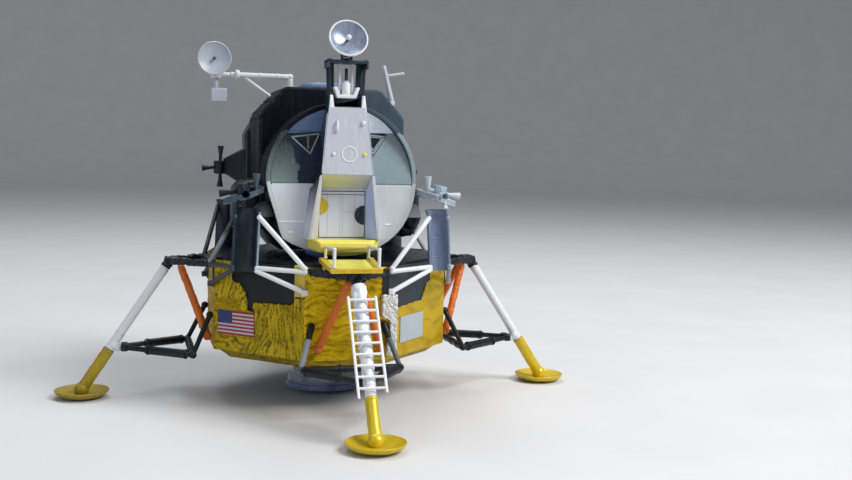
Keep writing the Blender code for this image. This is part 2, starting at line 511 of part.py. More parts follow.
sb_dir = Vector((0.0, -1.0, 0.06)).normalized()
node("s_band_dish", union(
    dish(sb_rim, sb_dir, 6.0, 1.5, 0.55), tube(sb_rim - sb_dir * 1.75, sb_rim + sb_dir * 1.5, 0.45, 0.3, n=10), ball(sb_rim + sb_dir * 1.6, 0.7, 10, 6),
    tube((bx, by, bz - 6.0), (bx, by, bz + 5.2), 0.9, n=14), tube((bx, by, bz + 5.0), sb_rim - sb_dir * 1.7, 0.9, n=12),
    ball((bx, by, bz + 5.0), 1.0, 12, 6),
    box((bx - 1.7, bx + 3.9), (by - 1.7, by + 1.7), (bz - 9.9, bz - 5.0))), PALE, (bx, by, bz))

out = Vector((0.743, 0.0, 0.669))                 # square to the sloped shoulder
foot = Vector((22.2, -5.0, 107.78))
bend = foot + out * 1.5
node("vhf_antenna", union(
    tube(foot + out * 0.15, bend, 1.5, n=14), ball(bend, 1.15, 12, 6), tube(bend, (19.9, -5.0, 122.6), 1.05, 0.8, n=12),
    tube((21.4, -5.0, 118.9), (27.2, -5.0, 119.9), 0.5, n=8), ball((27.2, -5.0, 119.9), 0.7, 10, 6)), PALE)

half, low, high = HATCH
door = box((-half, half), (FACE_Y + 0.1, FACE_Y + 1.5), (low, high))
node("forward_hatch", union(door, tube((-half, FACE_Y + 1.3, low + 1.2), (-half, FACE_Y + 1.3, high - 1.2), 0.2, n=8), box((5.0, 5.9), (FACE_Y - 0.6, FACE_Y + 0.5), (67.6, 70.4))), PALE, (-half, FACE_Y + 1.3, (low + high) / 2))
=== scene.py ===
"""Looks of the 1:48 lunar module display model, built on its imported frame.

Shapes are worked out in millimetres and turned into metres when a piece is finished.
The hatch and the ladder face -Y; +X is to the right of someone looking at the hatch.
"""
import bpy
import bmesh
import math
import numpy as np
from mathutils import Matrix, Vector


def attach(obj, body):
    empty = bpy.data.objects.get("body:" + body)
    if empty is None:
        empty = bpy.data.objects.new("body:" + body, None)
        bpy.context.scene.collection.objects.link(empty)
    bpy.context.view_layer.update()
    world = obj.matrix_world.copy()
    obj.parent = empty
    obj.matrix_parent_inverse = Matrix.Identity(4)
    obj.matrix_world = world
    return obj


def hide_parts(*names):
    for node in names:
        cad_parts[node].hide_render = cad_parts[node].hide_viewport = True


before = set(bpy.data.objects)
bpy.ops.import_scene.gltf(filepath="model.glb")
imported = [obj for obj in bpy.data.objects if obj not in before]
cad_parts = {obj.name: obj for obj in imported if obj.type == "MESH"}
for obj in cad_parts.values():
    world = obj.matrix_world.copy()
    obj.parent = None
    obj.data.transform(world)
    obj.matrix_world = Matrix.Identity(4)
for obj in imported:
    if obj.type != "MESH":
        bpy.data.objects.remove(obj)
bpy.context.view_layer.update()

MM = 0.001
ARM, BAY = 42.6, 14.8
BODY_Z = (19.0, 51.0)
DECK_TOP = 52.0
STRUT_TOP, PAD_CENTRE = (57.5, 49.0), (88.0, 3.0)
FACE_Y, SPLIT_Z, WINDOW_Z, LEAN = -30.0, 79.0, 97.0, 3.5 / 18.0
CABIN_Z, CABIN_R = 80.5, 26.7


# ---- numbers ------------------------------------------------------------------------------
def lin(r, g, b):
    """A colour on the 0-255 display scale as linear light."""
    return tuple(((c / 255 + 0.055) / 1.055) ** 2.4 if c > 10 else c / 255 / 12.92 for c in (r, g, b)) + (1.0,)


_RNG = np.random.RandomState(11)
_PERM = np.tile(_RNG.permutation(256), 3)
_GRAD = np.array([(1, 1, 0), (-1, 1, 0), (1, -1, 0), (-1, -1, 0), (1, 0, 1), (-1, 0, 1), (1, 0, -1), (-1, 0, -1), (0, 1, 1), (0, -1, 1), (0, 1, -1), (0, -1, -1)], float)


def noise(p, seed=0):
    """Smooth noise of about -1 to 1 at points p (N x 3)."""
    p = np.asarray(p, float) + (seed * 17.31, seed * 5.77, -seed * 9.13)
    i = np.floor(p).astype(int)
    f = p - i
    i &= 255
    u = f * f * f * (f * (f * 6 - 15) + 10)

    def corner(dx, dy, dz):
        h = _PERM[_PERM[_PERM[(i[:, 0] + dx) & 255] + ((i[:, 1] + dy) & 255)] + ((i[:, 2] + dz) & 255)] % 12
        g = _GRAD[h]
        return g[:, 0] * (f[:, 0] - dx) + g[:, 1] * (f[:, 1] - dy) + g[:, 2] * (f[:, 2] - dz)

    def mix(a, b, t):
        return a + (b - a) * t

    x00, x10 = mix(corner(0, 0, 0), corner(1, 0, 0), u[:, 0]), mix(corner(0, 1, 0), corner(1, 1, 0), u[:, 0])
    x01, x11 = mix(corner(0, 0, 1), corner(1, 0, 1), u[:, 0]), mix(corner(0, 1, 1), corner(1, 1, 1), u[:, 0])
    return mix(mix(x00, x10, u[:, 1]), mix(x01, x11, u[:, 1]), u[:, 2])


def fold(p, seed=0):
    """Creases: 0 in a sharp valley, about 1 on a broad ridge."""
    return np.clip(np.abs(noise(p, seed)) * 2.2, 0, 1) ** 0.75


def crumple(p, size=3.0, seed=0, levels=3):
    """Crumpled foil, about -0.5 to 0.5: folds of falling size at points p in millimetres."""
    p = np.asarray(p, float)
    warp = np.stack([noise(p / (size * 2.3), seed + 40 + k) for k in range(3)], 1) * size * 0.8
    out, gain, total = 0, 1.0, 0
    for k in range(levels):
        out = out + gain * (fold((p + warp) / (size / 2 ** k), seed + k) - 0.5)
        total += gain
        gain *= 0.55
    return out / total


# ---- shapes -------------------------------------------------------------------------------
class Sh:
    """Points, faces, a material number for each face and named values for each point."""

    def __init__(self, v, f, m=0, **a):
        self.v = np.asarray(v, float).reshape(-1, 3)
        self.f = [tuple(int(i) for i in q) for q in f]
        self.m = [m] * len(self.f) if isinstance(m, int) else list(m)
        self.a = {k: np.asarray(x, float) for k, x in a.items()}

    def mat(self, m):
        self.m = [m] * len(self.f)
        return self

    def moved(self, d):
        self.v = self.v + np.asarray(d, float)
        return self

    def set(self, **a):
        for k, x in a.items():
            self.a[k] = np.full(len(self.v), x, float) if np.isscalar(x) else np.asarray(x, float)
        return self


def join(*shapes):
    v, f, m, keys, n = [], [], [], sorted({k for s in shapes for k in s.a}), 0
    cols = {k: [] for k in keys}
    for s in shapes:
        v.append(s.v)
        f += [tuple(i + n for i in q) for q in s.f]
        m += s.m
        for k in keys:
            cols[k].append(s.a.get(k, np.zeros(len(s.v))))
        n += len(s.v)
    return Sh(np.concatenate(v), f, m, **{k: np.concatenate(c) for k, c in cols.items()})


def from_bm(bm, m=0):
    bm.verts.ensure_lookup_table()
    bm.verts.index_update()
    layer = bm.verts.layers.float.get("edge")
    s = Sh([v.co[:] for v in bm.verts], [[v.index for v in f.verts] for f in bm.faces], [f.material_index for f in bm.faces] if m is None else m)
    if layer is not None:
        s.set(edge=[v[layer] for v in bm.verts])
    bm.free()
    return s


def to_bm(s):
    bm = bmesh.new()
    vs = [bm.verts.new(p) for p in s.v]
    for q, m in zip(s.f, s.m):
        try:
            f = bm.faces.new([vs[i] for i in q])
            f.material_index = m
        except ValueError:
            pass
    return bm


def hull(points, m=0):
    bm = bmesh.new()
    for p in points:
        bm.verts.new(p)
    bmesh.ops.convex_hull(bm, input=bm.verts)
    bmesh.ops.delete(bm, geom=[v for v in bm.verts if not v.link_faces], context="VERTS")
    bmesh.ops.dissolve_limit(bm, angle_limit=math.radians(1), verts=bm.verts, edges=bm.edges)
    bmesh.ops.recalc_face_normals(bm, faces=bm.faces)
    return from_bm(bm, m)


def soft(s, width=0.25, seg=2, angle=22, inset=0.3):
    """Rounds the edges of a closed shape and marks them, so that paint can look rubbed there."""
    bm = to_bm(s)
    low, high = s.v.min(axis=0), s.v.max(axis=0)
    bmesh.ops.recalc_face_normals(bm, faces=bm.faces)
    edges = [e for e in bm.edges if len(e.link_faces) == 2 and e.calc_face_angle(0) > math.radians(angle)]
    layer = bm.verts.layers.float.new("edge")
    if edges:
        made = bmesh.ops.bevel(bm, geom=edges, offset=width, offset_type="OFFSET", segments=seg, profile=0.5, affect="EDGES", clamp_overlap=True, material=-1)
        fresh = set(made["faces"])
        for f in fresh:
            for v in f.verts:
                v[layer] = 1.0
        if inset:
            big = [f for f in bm.faces if f not in fresh and f.calc_area() > (inset * 5) ** 2]
            old = set(bm.verts)
            bmesh.ops.inset_individual(bm, faces=big, thickness=inset, use_even_offset=False)
            for v in bm.verts:
                if v not in old:
                    v[layer] = 0.0
    for v in bm.verts:
        v.co = [min(max(v.co[i], low[i]), high[i]) for i in range(3)]
    return from_bm(bm, None)


def prism(outline, axis, lo, hi, m=0):
    place = {"x": lambda a, b, c: (c, a, b), "y": lambda a, b, c: (a, c, b), "z": lambda a, b, c: (a, b, c)}[axis]
    n = len(outline)
    v = [place(a, b, c) for c in (lo, hi) for a, b in outline]
    f = [tuple(range(n))[::-1], tuple(range(n, 2 * n))] + [(i, (i + 1) % n, n + (i + 1) % n, n + i) for i in range(n)]
    return Sh(v, f, m)


def box(x, y, z, m=0):
    return prism([(x[0], y[0]), (x[1], y[0]), (x[1], y[1]), (x[0], y[1])], "z", *z, m=m)


def rings(sections, m=0, ends=True):
    n = len(sections[0])
    v = [p for ring in sections for p in ring]
    f = []
    for k in range(len(sections) - 1):
        f += [(k * n + i, k * n + (i + 1) % n, (k + 1) * n + (i + 1) % n, (k + 1) * n + i) for i in range(n)]
    if ends:
        f += [tuple(range(n))[::-1], tuple(range((len(sections) - 1) * n, len(sections) * n))]
    return Sh(v, f, m)


def across(d):
    d = Vector(d).normalized()
    u = d.cross(Vector((0, 0, 1)) if abs(d.z) < 0.95 else Vector((1, 0, 0))).normalized()
    return u, d.cross(u)


def rounded(pts, r, seg=3, closed=True):
    """An outline with its corners turned into short curves."""
    out, n = [], len(pts)
    for i, p in enumerate(pts):
        if not closed and i in (0, n - 1):
            out.append(tuple(p))
            continue
        p, a, b = np.array(p, float), np.array(pts[i - 1], float), np.array(pts[(i + 1) % n], float)
        da, db = np.linalg.norm(a - p), np.linalg.norm(b - p)
        ra, rb = min(r, da * 0.45), min(r, db * 0.45)
        s, e = p + (a - p) * ra / da, p + (b - p) * rb / db
        for k in range(seg + 1):
            t = k / seg
            out.append(tuple((1 - t) ** 2 * s + 2 * t * (1 - t) * p + t * t * e))
    return out


def lathe(profile, centre, axis, n=48, m=0, wobble=None):
    """Turned solid: profile is (radius, height) with the height along the axis."""
    c, d = Vector(centre), Vector(axis).normalized()
    u, v = across(d)
    c, d, u, v = (np.array(x) for x in (c, d, u, v))
    w = np.arange(n) * 2 * math.pi / n
    ring = np.outer(np.cos(w), u) + np.outer(np.sin(w), v)
    verts, rows, k = [], [], 0
    for r, h in profile:
        if r < 1e-6:
            rows.append([k] * n)
            verts.append((c + d * h)[None])
            k += 1
        else:
            rows.append(list(range(k, k + n)))
            verts.append(c + d * h + ring * r)
            k += n
    f = []
    for a, b in zip(rows, rows[1:]):
        for i in range(n):
            j = (i + 1) % n
            q = list(dict.fromkeys((a[i], a[j], b[j], b[i])))
            if len(q) > 2:
                f.append(q)
    return Sh(np.concatenate(verts), f, m)


def ball(c, r, n=20, k=10, m=0, stretch=(1, 1, 1)):
    s = lathe([(r * math.sin(math.pi * i / k), -r * math.cos(math.pi * i / k)) for i in range(k + 1)], (0, 0, 0), (0, 0, 1), n, m)
    s.v = s.v * np.array(stretch) + np.array(c, float)
    return s


def tube(path, r, n=20, m=0, tip=0.0, steps=1):
    """A bar along a path of points; r is one radius or one for each point. tip rounds its ends."""
    p = np.array(path, float)
    rr = np.full(len(p), r, float) if np.isscalar(r) else np.array(r, float)
    if steps > 1:
        t = np.linspace(0, len(p) - 1, (len(p) - 1) * steps + 1)
        rr = np.interp(t, range(len(p)), rr)
        p = np.stack([np.interp(t, range(len(p)), p[:, k]) for k in range(3)], 1)
    if tip > 0:
        a, b = (p[1] - p[0]) / np.linalg.norm(p[1] - p[0]), (p[-2] - p[-1]) / np.linalg.norm(p[-2] - p[-1])
        t0, t1 = min(tip, rr[0]), min(tip, rr[-1])
        p = np.concatenate([[p[0], p[0] + a * t0 * 0.3, p[0] + a * t0], p[1:-1], [p[-1] + b * t1, p[-1] + b * t1 * 0.3, p[-1]]])
        rr = np.concatenate([[rr[0] - t0, rr[0] - t0 * 0.3, rr[0]], rr[1:-1], [rr[-1], rr[-1] - t1 * 0.3, rr[-1] - t1]])
    rr = np.maximum(rr, 0.02)
    tan = np.gradient(p, axis=0)
    tan /= np.linalg.norm(tan, axis=1)[:, None]
    u, _ = across(Vector(tan[0]))
    u = np.array(u)
    w = np.arange(n) * 2 * math.pi / n
    sections = []
    for q, t, radius in zip(p, tan, rr):
        u = u - t * (u @ t)
        u /= np.linalg.norm(u)
        v = np.cross(t, u)
        sections.append(q + (np.outer(np.cos(w), u) + np.outer(np.sin(w), v)) * radius)
    k = len(sections)
    f = [(a * n + i, a * n + (i + 1) % n, (a + 1) * n + (i + 1) % n, (a + 1) * n + i) for a in range(k - 1) for i in range(n)]
    f += [tuple(range(n))[::-1], tuple(range((k - 1) * n, k * n))]
    return Sh(np.concatenate(sections), f, m)


def loop(path, r, n=12, m=0):
    """A closed bar round a path."""
    p = np.array(path, float)
    tan = np.roll(p, -1, 0) - np.roll(p, 1, 0)
    tan /= np.linalg.norm(tan, axis=1)[:, None]
    mid = np.cross(tan[0], tan[len(p) // 4])
    mid /= np.linalg.norm(mid)
    w = np.arange(n) * 2 * math.pi / n
    v = []
    for q, t in zip(p, tan):
        u = np.cross(mid, t)
        u /= np.linalg.norm(u)
        v.append(q + (np.outer(np.cos(w), u) + np.outer(np.sin(w), mid)) * r)
    k = len(p)
    return Sh(np.concatenate(v), [(a * n + i, a * n + (i + 1) % n, (a + 1) % k * n + (i + 1) % n, (a + 1) % k * n + i) for a in range(k) for i in range(n)], m)


def panel(p00, p10, p11, p01, step, height, m=0):
    """A fine sheet over four corners. height(s, t, p) takes millimetres along and up and gives the lift and the point values."""
    a, b, c, d = (np.array(x, float) for x in (p00, p10, p11, p01))
    wide, tall = np.linalg.norm(b - a), np.linalg.norm(d - a)
    nu, nv = max(2, int(wide / step)), max(2, int(tall / step))
    u, t = np.meshgrid(np.linspace(0, 1, nu + 1), np.linspace(0, 1, nv + 1))
    u, t = u.ravel()[:, None], t.ravel()[:, None]
    p = a * (1 - u) * (1 - t) + b * u * (1 - t) + c * u * t + d * (1 - u) * t
    n = np.cross(b - a, d - a)
    n /= np.linalg.norm(n)
    lift, values = height(u[:, 0] * wide, t[:, 0] * tall, p)
    rim = np.minimum.reduce([u[:, 0] * wide, (1 - u[:, 0]) * wide, t[:, 0] * tall, (1 - t[:, 0]) * tall])
    p = p + n * (lift * np.clip(rim / 0.5, 0, 1))[:, None]
    w = nu + 1
    f = [(j * w + i, j * w + i + 1, (j + 1) * w + i + 1, (j + 1) * w + i) for j in range(nv) for i in range(nu)]
    return Sh(p, f, m, **values)


def from_node(name, m=0):
    """A carried-over shape as whole flat faces, in millimetres."""
    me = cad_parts[name].data
    bm = bmesh.new()
    bm.from_mesh(me)
    bmesh.ops.scale(bm, vec=(1000, 1000, 1000), verts=bm.verts)
    bmesh.ops.remove_doubles(bm, verts=bm.verts, dist=0.004)
    bmesh.ops.dissolve_limit(bm, angle_limit=math.radians(0.8), verts=bm.verts, edges=bm.edges)
    for f in bm.faces:
        f.material_index = m
    bmesh.ops.recalc_face_normals(bm, faces=bm.faces)
    return from_bm(bm, None)


def wrapped(s, voxel, depth, size, seed, smooth=3):
    """A shape skinned in crumpled foil: evened out, eased, then pushed along its normals."""
    ob = bpy.data.objects.new("work", bpy.data.meshes.new("work"))
    ob.data.from_pydata([tuple(p * MM * 10) for p in s.v], [], s.f)
    bpy.context.scene.collection.objects.link(ob)
    mod = ob.modifiers.new("r", "REMESH")
    mod.mode, mod.voxel_size, mod.adaptivity = "VOXEL", voxel * MM * 10, 0.0
    sm = ob.modifiers.new("s", "SMOOTH")
    sm.iterations, sm.factor = smooth, 0.5
    bpy.context.view_layer.update()
    me = bpy.data.meshes.new_from_object(ob.evaluated_get(bpy.context.evaluated_depsgraph_get()))
    n = len(me.vertices)
    co, no = np.empty(n * 3, np.float32), np.empty(n * 3, np.float32)
    me.vertices.foreach_get("co", co)
    me.vertices.foreach_get("normal", no)
    co, no = co.reshape(-1, 3).astype(float) * 100, no.reshape(-1, 3).astype(float)
    h = crumple(co, size, seed)
    faces = [tuple(q.vertices) for q in me.polygons]
    bpy.data.objects.remove(ob, do_unlink=True)
    bpy.data.meshes.remove(me)
    return Sh(co + no * (h * depth)[:, None], faces, 0, crease=np.clip(h + 0.5, 0, 1))


def rivets(points, normal, r=0.22, m=0, n=8):
    """Low round heads on a surface."""
    out = []
    for p in points:
        out.append(lathe([(r, -0.05), (r * 0.92, r * 0.35), (r * 0.55, r * 0.62), (0, r * 0.7)], p, normal, n, m))
    return join(*out) if out else Sh(np.zeros((0, 3)), [])


def slab(corners, normal, thick, m=0, width=0.12, sink=0.2):
    """A thin raised panel on a plane: corners in order round it, normal pointing out."""
    n = np.array(normal, float)
    n /= np.linalg.norm(n)
    c = [np.array(p, float) for p in corners]
    k = len(c)
    v = [p - n * sink for p in c] + [p + n * thick for p in c]
    f = [tuple(range(k))[::-1], tuple(range(k, 2 * k))] + [(i, (i + 1) % k, k + (i + 1) % k, k + i) for i in range(k)]
    return soft(Sh(v, f, m), width, 2, 22, 0.35)


def piece(name, shape, body, mats, replaces=(), angle=40, smooth=True):
    me = bpy.data.meshes.new(name)
    me.from_pydata((shape.v * MM).tolist(), [], shape.f)
    for mat in (mats if isinstance(mats, (list, tuple)) else [mats]):
        me.materials.append(mat)
    me.polygons.foreach_set("material_index", np.array(shape.m, np.int32))
    for k in ("crease", "bare", "edge"):
        if k in shape.a:
            me.attributes.new(k, "FLOAT", "POINT").data.foreach_set("value", shape.a[k].astype(np.float32))
    me.validate(clean_customdata=False)
    me.update()
    if smooth:
        me.shade_smooth()
        me.set_sharp_from_angle(angle=math.radians(angle))
    ob = bpy.data.objects.new(name, me)
    bpy.context.scene.collection.objects.link(ob)
    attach(ob, body)
    if replaces:
        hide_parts(*([replaces] if isinstance(replaces, str) else replaces))
    return ob


# ---- materials ----------------------------------------------------------------------------
class Graph:
    """A node material whose pattern is laid out in millimetres of the model."""

    def __init__(self, name):
        self.mat = bpy.data.materials.new(name)
        self.mat.use_nodes = True
        self.nt = self.mat.node_tree
        self.nt.nodes.clear()
        self.out = self.nt.nodes.new("ShaderNodeOutputMaterial")
        self.bsdf = self.nt.nodes.new("ShaderNodeBsdfPrincipled")
        self.nt.links.new(self.bsdf.outputs[0], self.out.inputs["Surface"])
        tc = self.nt.nodes.new("ShaderNodeTexCoord")
        mp = self.nt.nodes.new("ShaderNodeMapping")
        mp.inputs["Scale"].default_value = (1000, 1000, 1000)
        self.nt.links.new(tc.outputs["Object"], mp.inputs["Vector"])
        self.co = mp.outputs[0]

    def put(self, socket, value):
        if isinstance(value, bpy.types.NodeSocket):
            self.nt.links.new(value, socket)
        else:
            socket.default_value = value

    def stretched(self, scale):
        n = self.nt.nodes.new("ShaderNodeMapping")
        n.inputs["Scale"].default_value = scale
        self.nt.links.new(self.co, n.inputs["Vector"])
        return n.outputs[0]

    def noise(self, scale, detail=3.0, rough=0.55, distort=0.0, co=None):
        n = self.nt.nodes.new("ShaderNodeTexNoise")
        self.nt.links.new(co or self.co, n.inputs["Vector"])
        for k, x in (("Scale", scale), ("Detail", detail), ("Roughness", rough), ("Distortion", distort)):
            n.inputs[k].default_value = x
        return n.outputs["Fac"]

    def cells(self, scale, feature="F1", co=None):
        n = self.nt.nodes.new("ShaderNodeTexVoronoi")
        n.feature = feature
        self.nt.links.new(co or self.co, n.inputs["Vector"])
        n.inputs["Scale"].default_value = scale
        return n.outputs["Distance"]

    def curve(self, value, lo, hi, a=0.0, b=1.0):
        n = self.nt.nodes.new("ShaderNodeMapRange")
        n.clamp = True
        self.put(n.inputs["Value"], value)
        for k, x in (("From Min", lo), ("From Max", hi), ("To Min", a), ("To Max", b)):
            n.inputs[k].default_value = x
        return n.outputs["Result"]

    def math(self, op, a, b=0.0):
        n = self.nt.nodes.new("ShaderNodeMath")
        n.operation = op
        self.put(n.inputs[0], a)
        self.put(n.inputs[1], b)
        return n.outputs[0]

    def mix(self, fac, a, b):
        n = self.nt.nodes.new("ShaderNodeMix")
        n.data_type = "RGBA"
        self.put(n.inputs["Factor"], fac)
        self.put(n.inputs[6], a)
        self.put(n.inputs[7], b)
        return n.outputs[2]

    def value(self, name):
        n = self.nt.nodes.new("ShaderNodeAttribute")
        n.attribute_name = name
        return n.outputs["Fac"]

    def along(self, axis, lo, hi):
        n = self.nt.nodes.new("ShaderNodeSeparateXYZ")
        self.nt.links.new(self.co, n.inputs[0])
        return self.curve(n.outputs[axis], lo, hi)

    def bump(self, height, strength, distance=0.1, after=None):
        n = self.nt.nodes.new("ShaderNodeBump")
        n.inputs["Strength"].default_value = strength
        n.inputs["Distance"].default_value = distance * MM
        self.put(n.inputs["Height"], height)
        if after is not None:
            self.nt.links.new(after, n.inputs["Normal"])
        return n.outputs[0]

    def done(self, colour, rough, metal=0.0, normal=None, coat=0.0, spec=0.5, coat_rough=0.1):
        b = self.bsdf
        self.put(b.inputs["Base Color"], colour)
        self.put(b.inputs["Roughness"], rough)
        self.put(b.inputs["Metallic"], metal)
        b.inputs["Coat Weight"].default_value = coat
        b.inputs["Coat Roughness"].default_value = coat_rough
        b.inputs["Specular IOR Level"].default_value = spec
        if normal is not None:
            self.nt.links.new(normal, b.inputs["Normal"])
        return self.mat


def painted(name, base, dark, worn, rough=0.42, metal=0.0, coat=0.0, grain=0.35, spec=0.5, patch=0.35, turn=None, rise=None):
    """Brushed model paint: slow patches, fine streaks, specks of dust and rubbed edges. turn and rise are each an axis
    with two places on it in millimetres and the two colours that the colour fades to by the second place; rise comes
    first. Several materials use these fades as painted light and shade, as noted where they are made."""
    g = Graph(name)
    for change in (rise, turn):
        if change:
            axis, lo, hi, base2, dark2 = change
            share = g.along(axis, lo, hi)
            base, dark = g.mix(share, base, base2), g.mix(share, dark, dark2)
    slow = g.curve(g.noise(0.11, 4, 0.6, 0.3), 0.35, 0.7)
    fine = g.noise(1.6, 5, 0.65, 0.2)
    streak = g.noise(0.9, 4, 0.6, 0.0, g.stretched((1.0, 1.0, 0.16)))
    c = g.mix(g.math("MULTIPLY", slow, patch), base, dark)
    c = g.mix(g.math("MULTIPLY", g.curve(streak, 0.5, 0.72), 0.28), c, worn)
    c = g.mix(g.math("MULTIPLY", g.curve(fine, 0.56, 0.74), 0.22), c, dark)
    rub = g.math("MULTIPLY", g.value("edge"), g.curve(g.noise(0.8, 3, 0.6), 0.42, 0.62))
    c = g.mix(g.math("MULTIPLY", rub, 0.55), c, worn)
    speck = g.curve(g.cells(1.1), 0.07, 0.02)
    c = g.mix(g.math("MULTIPLY", speck, 0.25), c, worn)
    r = g.math("ADD", g.curve(g.noise(0.5, 4, 0.6), 0.3, 0.7, rough - 0.09, rough + 0.1), g.math("MULTIPLY", fine, 0.06))
    h = g.math("ADD", g.math("MULTIPLY", fine, 0.5), g.math("MULTIPLY", g.noise(6.0, 3, 0.6), 0.5))
    n = g.bump(h, grain, 0.07, g.bump(g.noise(0.35, 2, 0.5), 0.25, 0.25))
    return g.done(c, r, metal, n, coat, spec)


def foil(name, ridge, valley, bare=None, metal=0.55, rough=0.36, coat=0.12, fine=0.5, size=1.0):
    """Painted metal foil: bright ridges over darker creases, with a fine crinkle. The darker colour in the creases is
    painted shade and the small bright specks are painted highlights.
    """
    g = Graph(name)
    crease = g.value("crease")
    big = g.noise(0.16, 4, 0.6, 0.4)
    # the valley colour darkens the creases: painted shade
    c = g.mix(g.curve(crease, 0.12, 0.62), valley, ridge)
    c = g.mix(g.curve(big, 0.45, 0.72, 0.0, 0.35), c, valley)
    # small bright specks: painted highlights
    painted_glint = g.curve(g.cells(1.7 * size), 0.12, 0.03)
    bright = tuple(min(1.0, x * 1.9 + 0.05) for x in ridge[:3]) + (1.0,)
    c = g.mix(g.math("MULTIPLY", painted_glint, 0.30), c, bright)
    metallic = metal
    r = g.curve(g.noise(1.3 * size, 4, 0.6), 0.3, 0.7, rough - 0.1, rough + 0.14)
    if bare is not None:
        mask = g.curve(g.value("bare"), 0.42, 0.58)
        c = g.mix(mask, c, g.mix(g.curve(g.noise(0.5, 4, 0.6), 0.4, 0.7), bare, tuple(x * 0.55 for x in bare[:3]) + (1.0,)))
        metallic = g.math("MULTIPLY", g.math("SUBTRACT", 1.0, mask), metal)
    crinkle = g.math("ADD", g.math("MULTIPLY", g.cells(1.5 * size), 0.8), g.math("MULTIPLY", g.noise(2.8 * size, 4, 0.62, 0.6), 0.7))
    n = g.bump(crinkle, fine, 0.16)
    return g.done(c, r, metallic, n, coat, 0.3)


# The gold foils differ by side: gold_foil_left, on the front-left diagonal, is darker and gold_foil_flat, on the
# front-right diagonal, is brighter. This is partly their own tone and partly painted shade and painted light.
GOLD = foil("gold_foil_left", lin(190, 164, 14), lin(62, 54, 8), lin(9, 15, 20), metal=0.5, coat=0.03)
GOLD_FRONT = foil("gold_foil_front", lin(226, 190, 10), lin(132, 104, 6), lin(22, 30, 34), metal=0.5, coat=0.03, fine=0.4)
GOLD_FLAT = foil("gold_foil_flat", lin(206, 172, 10), lin(168, 138, 12), lin(34, 52, 62), metal=0.5, coat=0.03, fine=0.16)
GOLD_POST = painted("pale_gold_post", lin(206, 186, 74), lin(176, 154, 50), lin(232, 220, 130), 0.4, 0.1, 0.0, 0.3)
GOLD_PAINT = painted("gold_paint", lin(216, 188, 30), lin(166, 140, 24), lin(240, 224, 110), 0.34, 0.25, 0.1, 0.3)
YELLOW = painted("bright_gold_paint", lin(238, 228, 60), lin(212, 194, 36), lin(246, 242, 140), 0.4, 0.05, 0.05, 0.35)
BLACK_FOIL = foil("black_foil", lin(44, 52, 62), lin(6, 8, 12), metal=0.4, rough=0.28, coat=0.05, fine=0.5)
WHITE_FOIL = foil("white_foil", lin(246, 248, 252), lin(198, 202, 220), metal=0.12, rough=0.3, coat=0.2, fine=0.55)
SILVER = foil("silver_foil", lin(226, 228, 224), lin(186, 190, 190), metal=0.1, rough=0.45, coat=0.05, fine=0.4)
BLACK = painted("satin_black", lin(8, 13, 20), lin(4, 7, 12), lin(50, 62, 78), 0.36, 0.0, 0.0, 0.3, 0.35)
# black hull that turns slate towards the right, from x 0 to 11 mm: painted reflection of bright surroundings
BLACK_HULL = painted("hull_black_to_slate", lin(7, 12, 22), lin(3, 6, 13), lin(46, 60, 80), 0.46, 0.0, 0.0, 0.25, 0.14, 0.35, (0, 0.0, 11.0, lin(70, 86, 98), lin(46, 60, 72)))
SLATE = painted("slate_grey", lin(74, 88, 98), lin(48, 58, 68), lin(134, 148, 160), 0.36, 0.0, 0.08, 0.3, 0.4)
DARK_SLATE = painted("dark_slate", lin(26, 40, 52), lin(14, 22, 32), lin(76, 94, 112), 0.36, 0.0, 0.03, 0.3, 0.35)
BLUE_GREY = painted("blue_grey", lin(112, 128, 154), lin(84, 98, 122), lin(164, 180, 206), 0.36, 0.0, 0.08, 0.3, 0.4)
# slate blue for the left front cluster and pale blue for the right one, copies of one paint: painted shade and painted
# light
ARM_LEFT = painted("arm_slate_blue", lin(62, 78, 98), lin(38, 50, 66), lin(120, 138, 156), 0.34, 0.0, 0.08, 0.25, 0.4)
ARM_RIGHT = painted("arm_pale_blue", lin(150, 166, 180), lin(112, 128, 146), lin(206, 216, 222), 0.36, 0.0, 0.08, 0.25, 0.4)
DEEP_BLUE = painted("deep_blue", lin(78, 108, 190), lin(52, 76, 150), lin(120, 146, 206), 0.34, 0.0, 0.1, 0.25, 0.4)
PALE = painted("pale_grey", lin(184, 191, 200), lin(156, 163, 175), lin(218, 222, 228), 0.4, 0.0, 0.06, 0.2, patch=0.2)
LIGHT = painted("light_grey", lin(202, 208, 214), lin(174, 181, 190), lin(228, 232, 236), 0.4, 0.0, 0.06, 0.2, patch=0.2)
# front light grey, lighter on the left and darker on the right to even out the key light from the right: painted light
FACE_LIGHT = painted("front_light_grey", lin(213, 222, 230), lin(184, 193, 204), lin(232, 236, 240), 0.4, 0.0, 0.06, 0.2, patch=0.2, turn=(0, -14.0, 14.0, lin(196, 203, 209), lin(168, 176, 184)))
# grey and dark copies of the deflectors' white strut paint: painted shade
STRUT_GREY = painted("strut_grey", lin(146, 158, 170), lin(118, 130, 142), lin(176, 188, 200), 0.4, 0.0, 0.05, 0.2, patch=0.3)
STRUT_DARK = painted("strut_dark", lin(46, 58, 64), lin(32, 42, 48), lin(96, 110, 118), 0.4, 0.0, 0.03, 0.2, 0.4, patch=0.3)
STRUT_SHADE = painted("strut_shaded", lin(134, 146, 158), lin(108, 120, 132), lin(170, 180, 190), 0.4, 0.0, 0.05, 0.2, patch=0.3, turn=(2, 59.5, 62.0, lin(28, 40, 50), lin(18, 28, 36)))
# pale grey for the front leg's left link: painted highlight on black
LINK_GREY = painted("link_grey", lin(148, 156, 172), lin(118, 128, 146), lin(190, 198, 208), 0.36, 0.0, 0.08, 0.3, 0.4, patch=0.4)
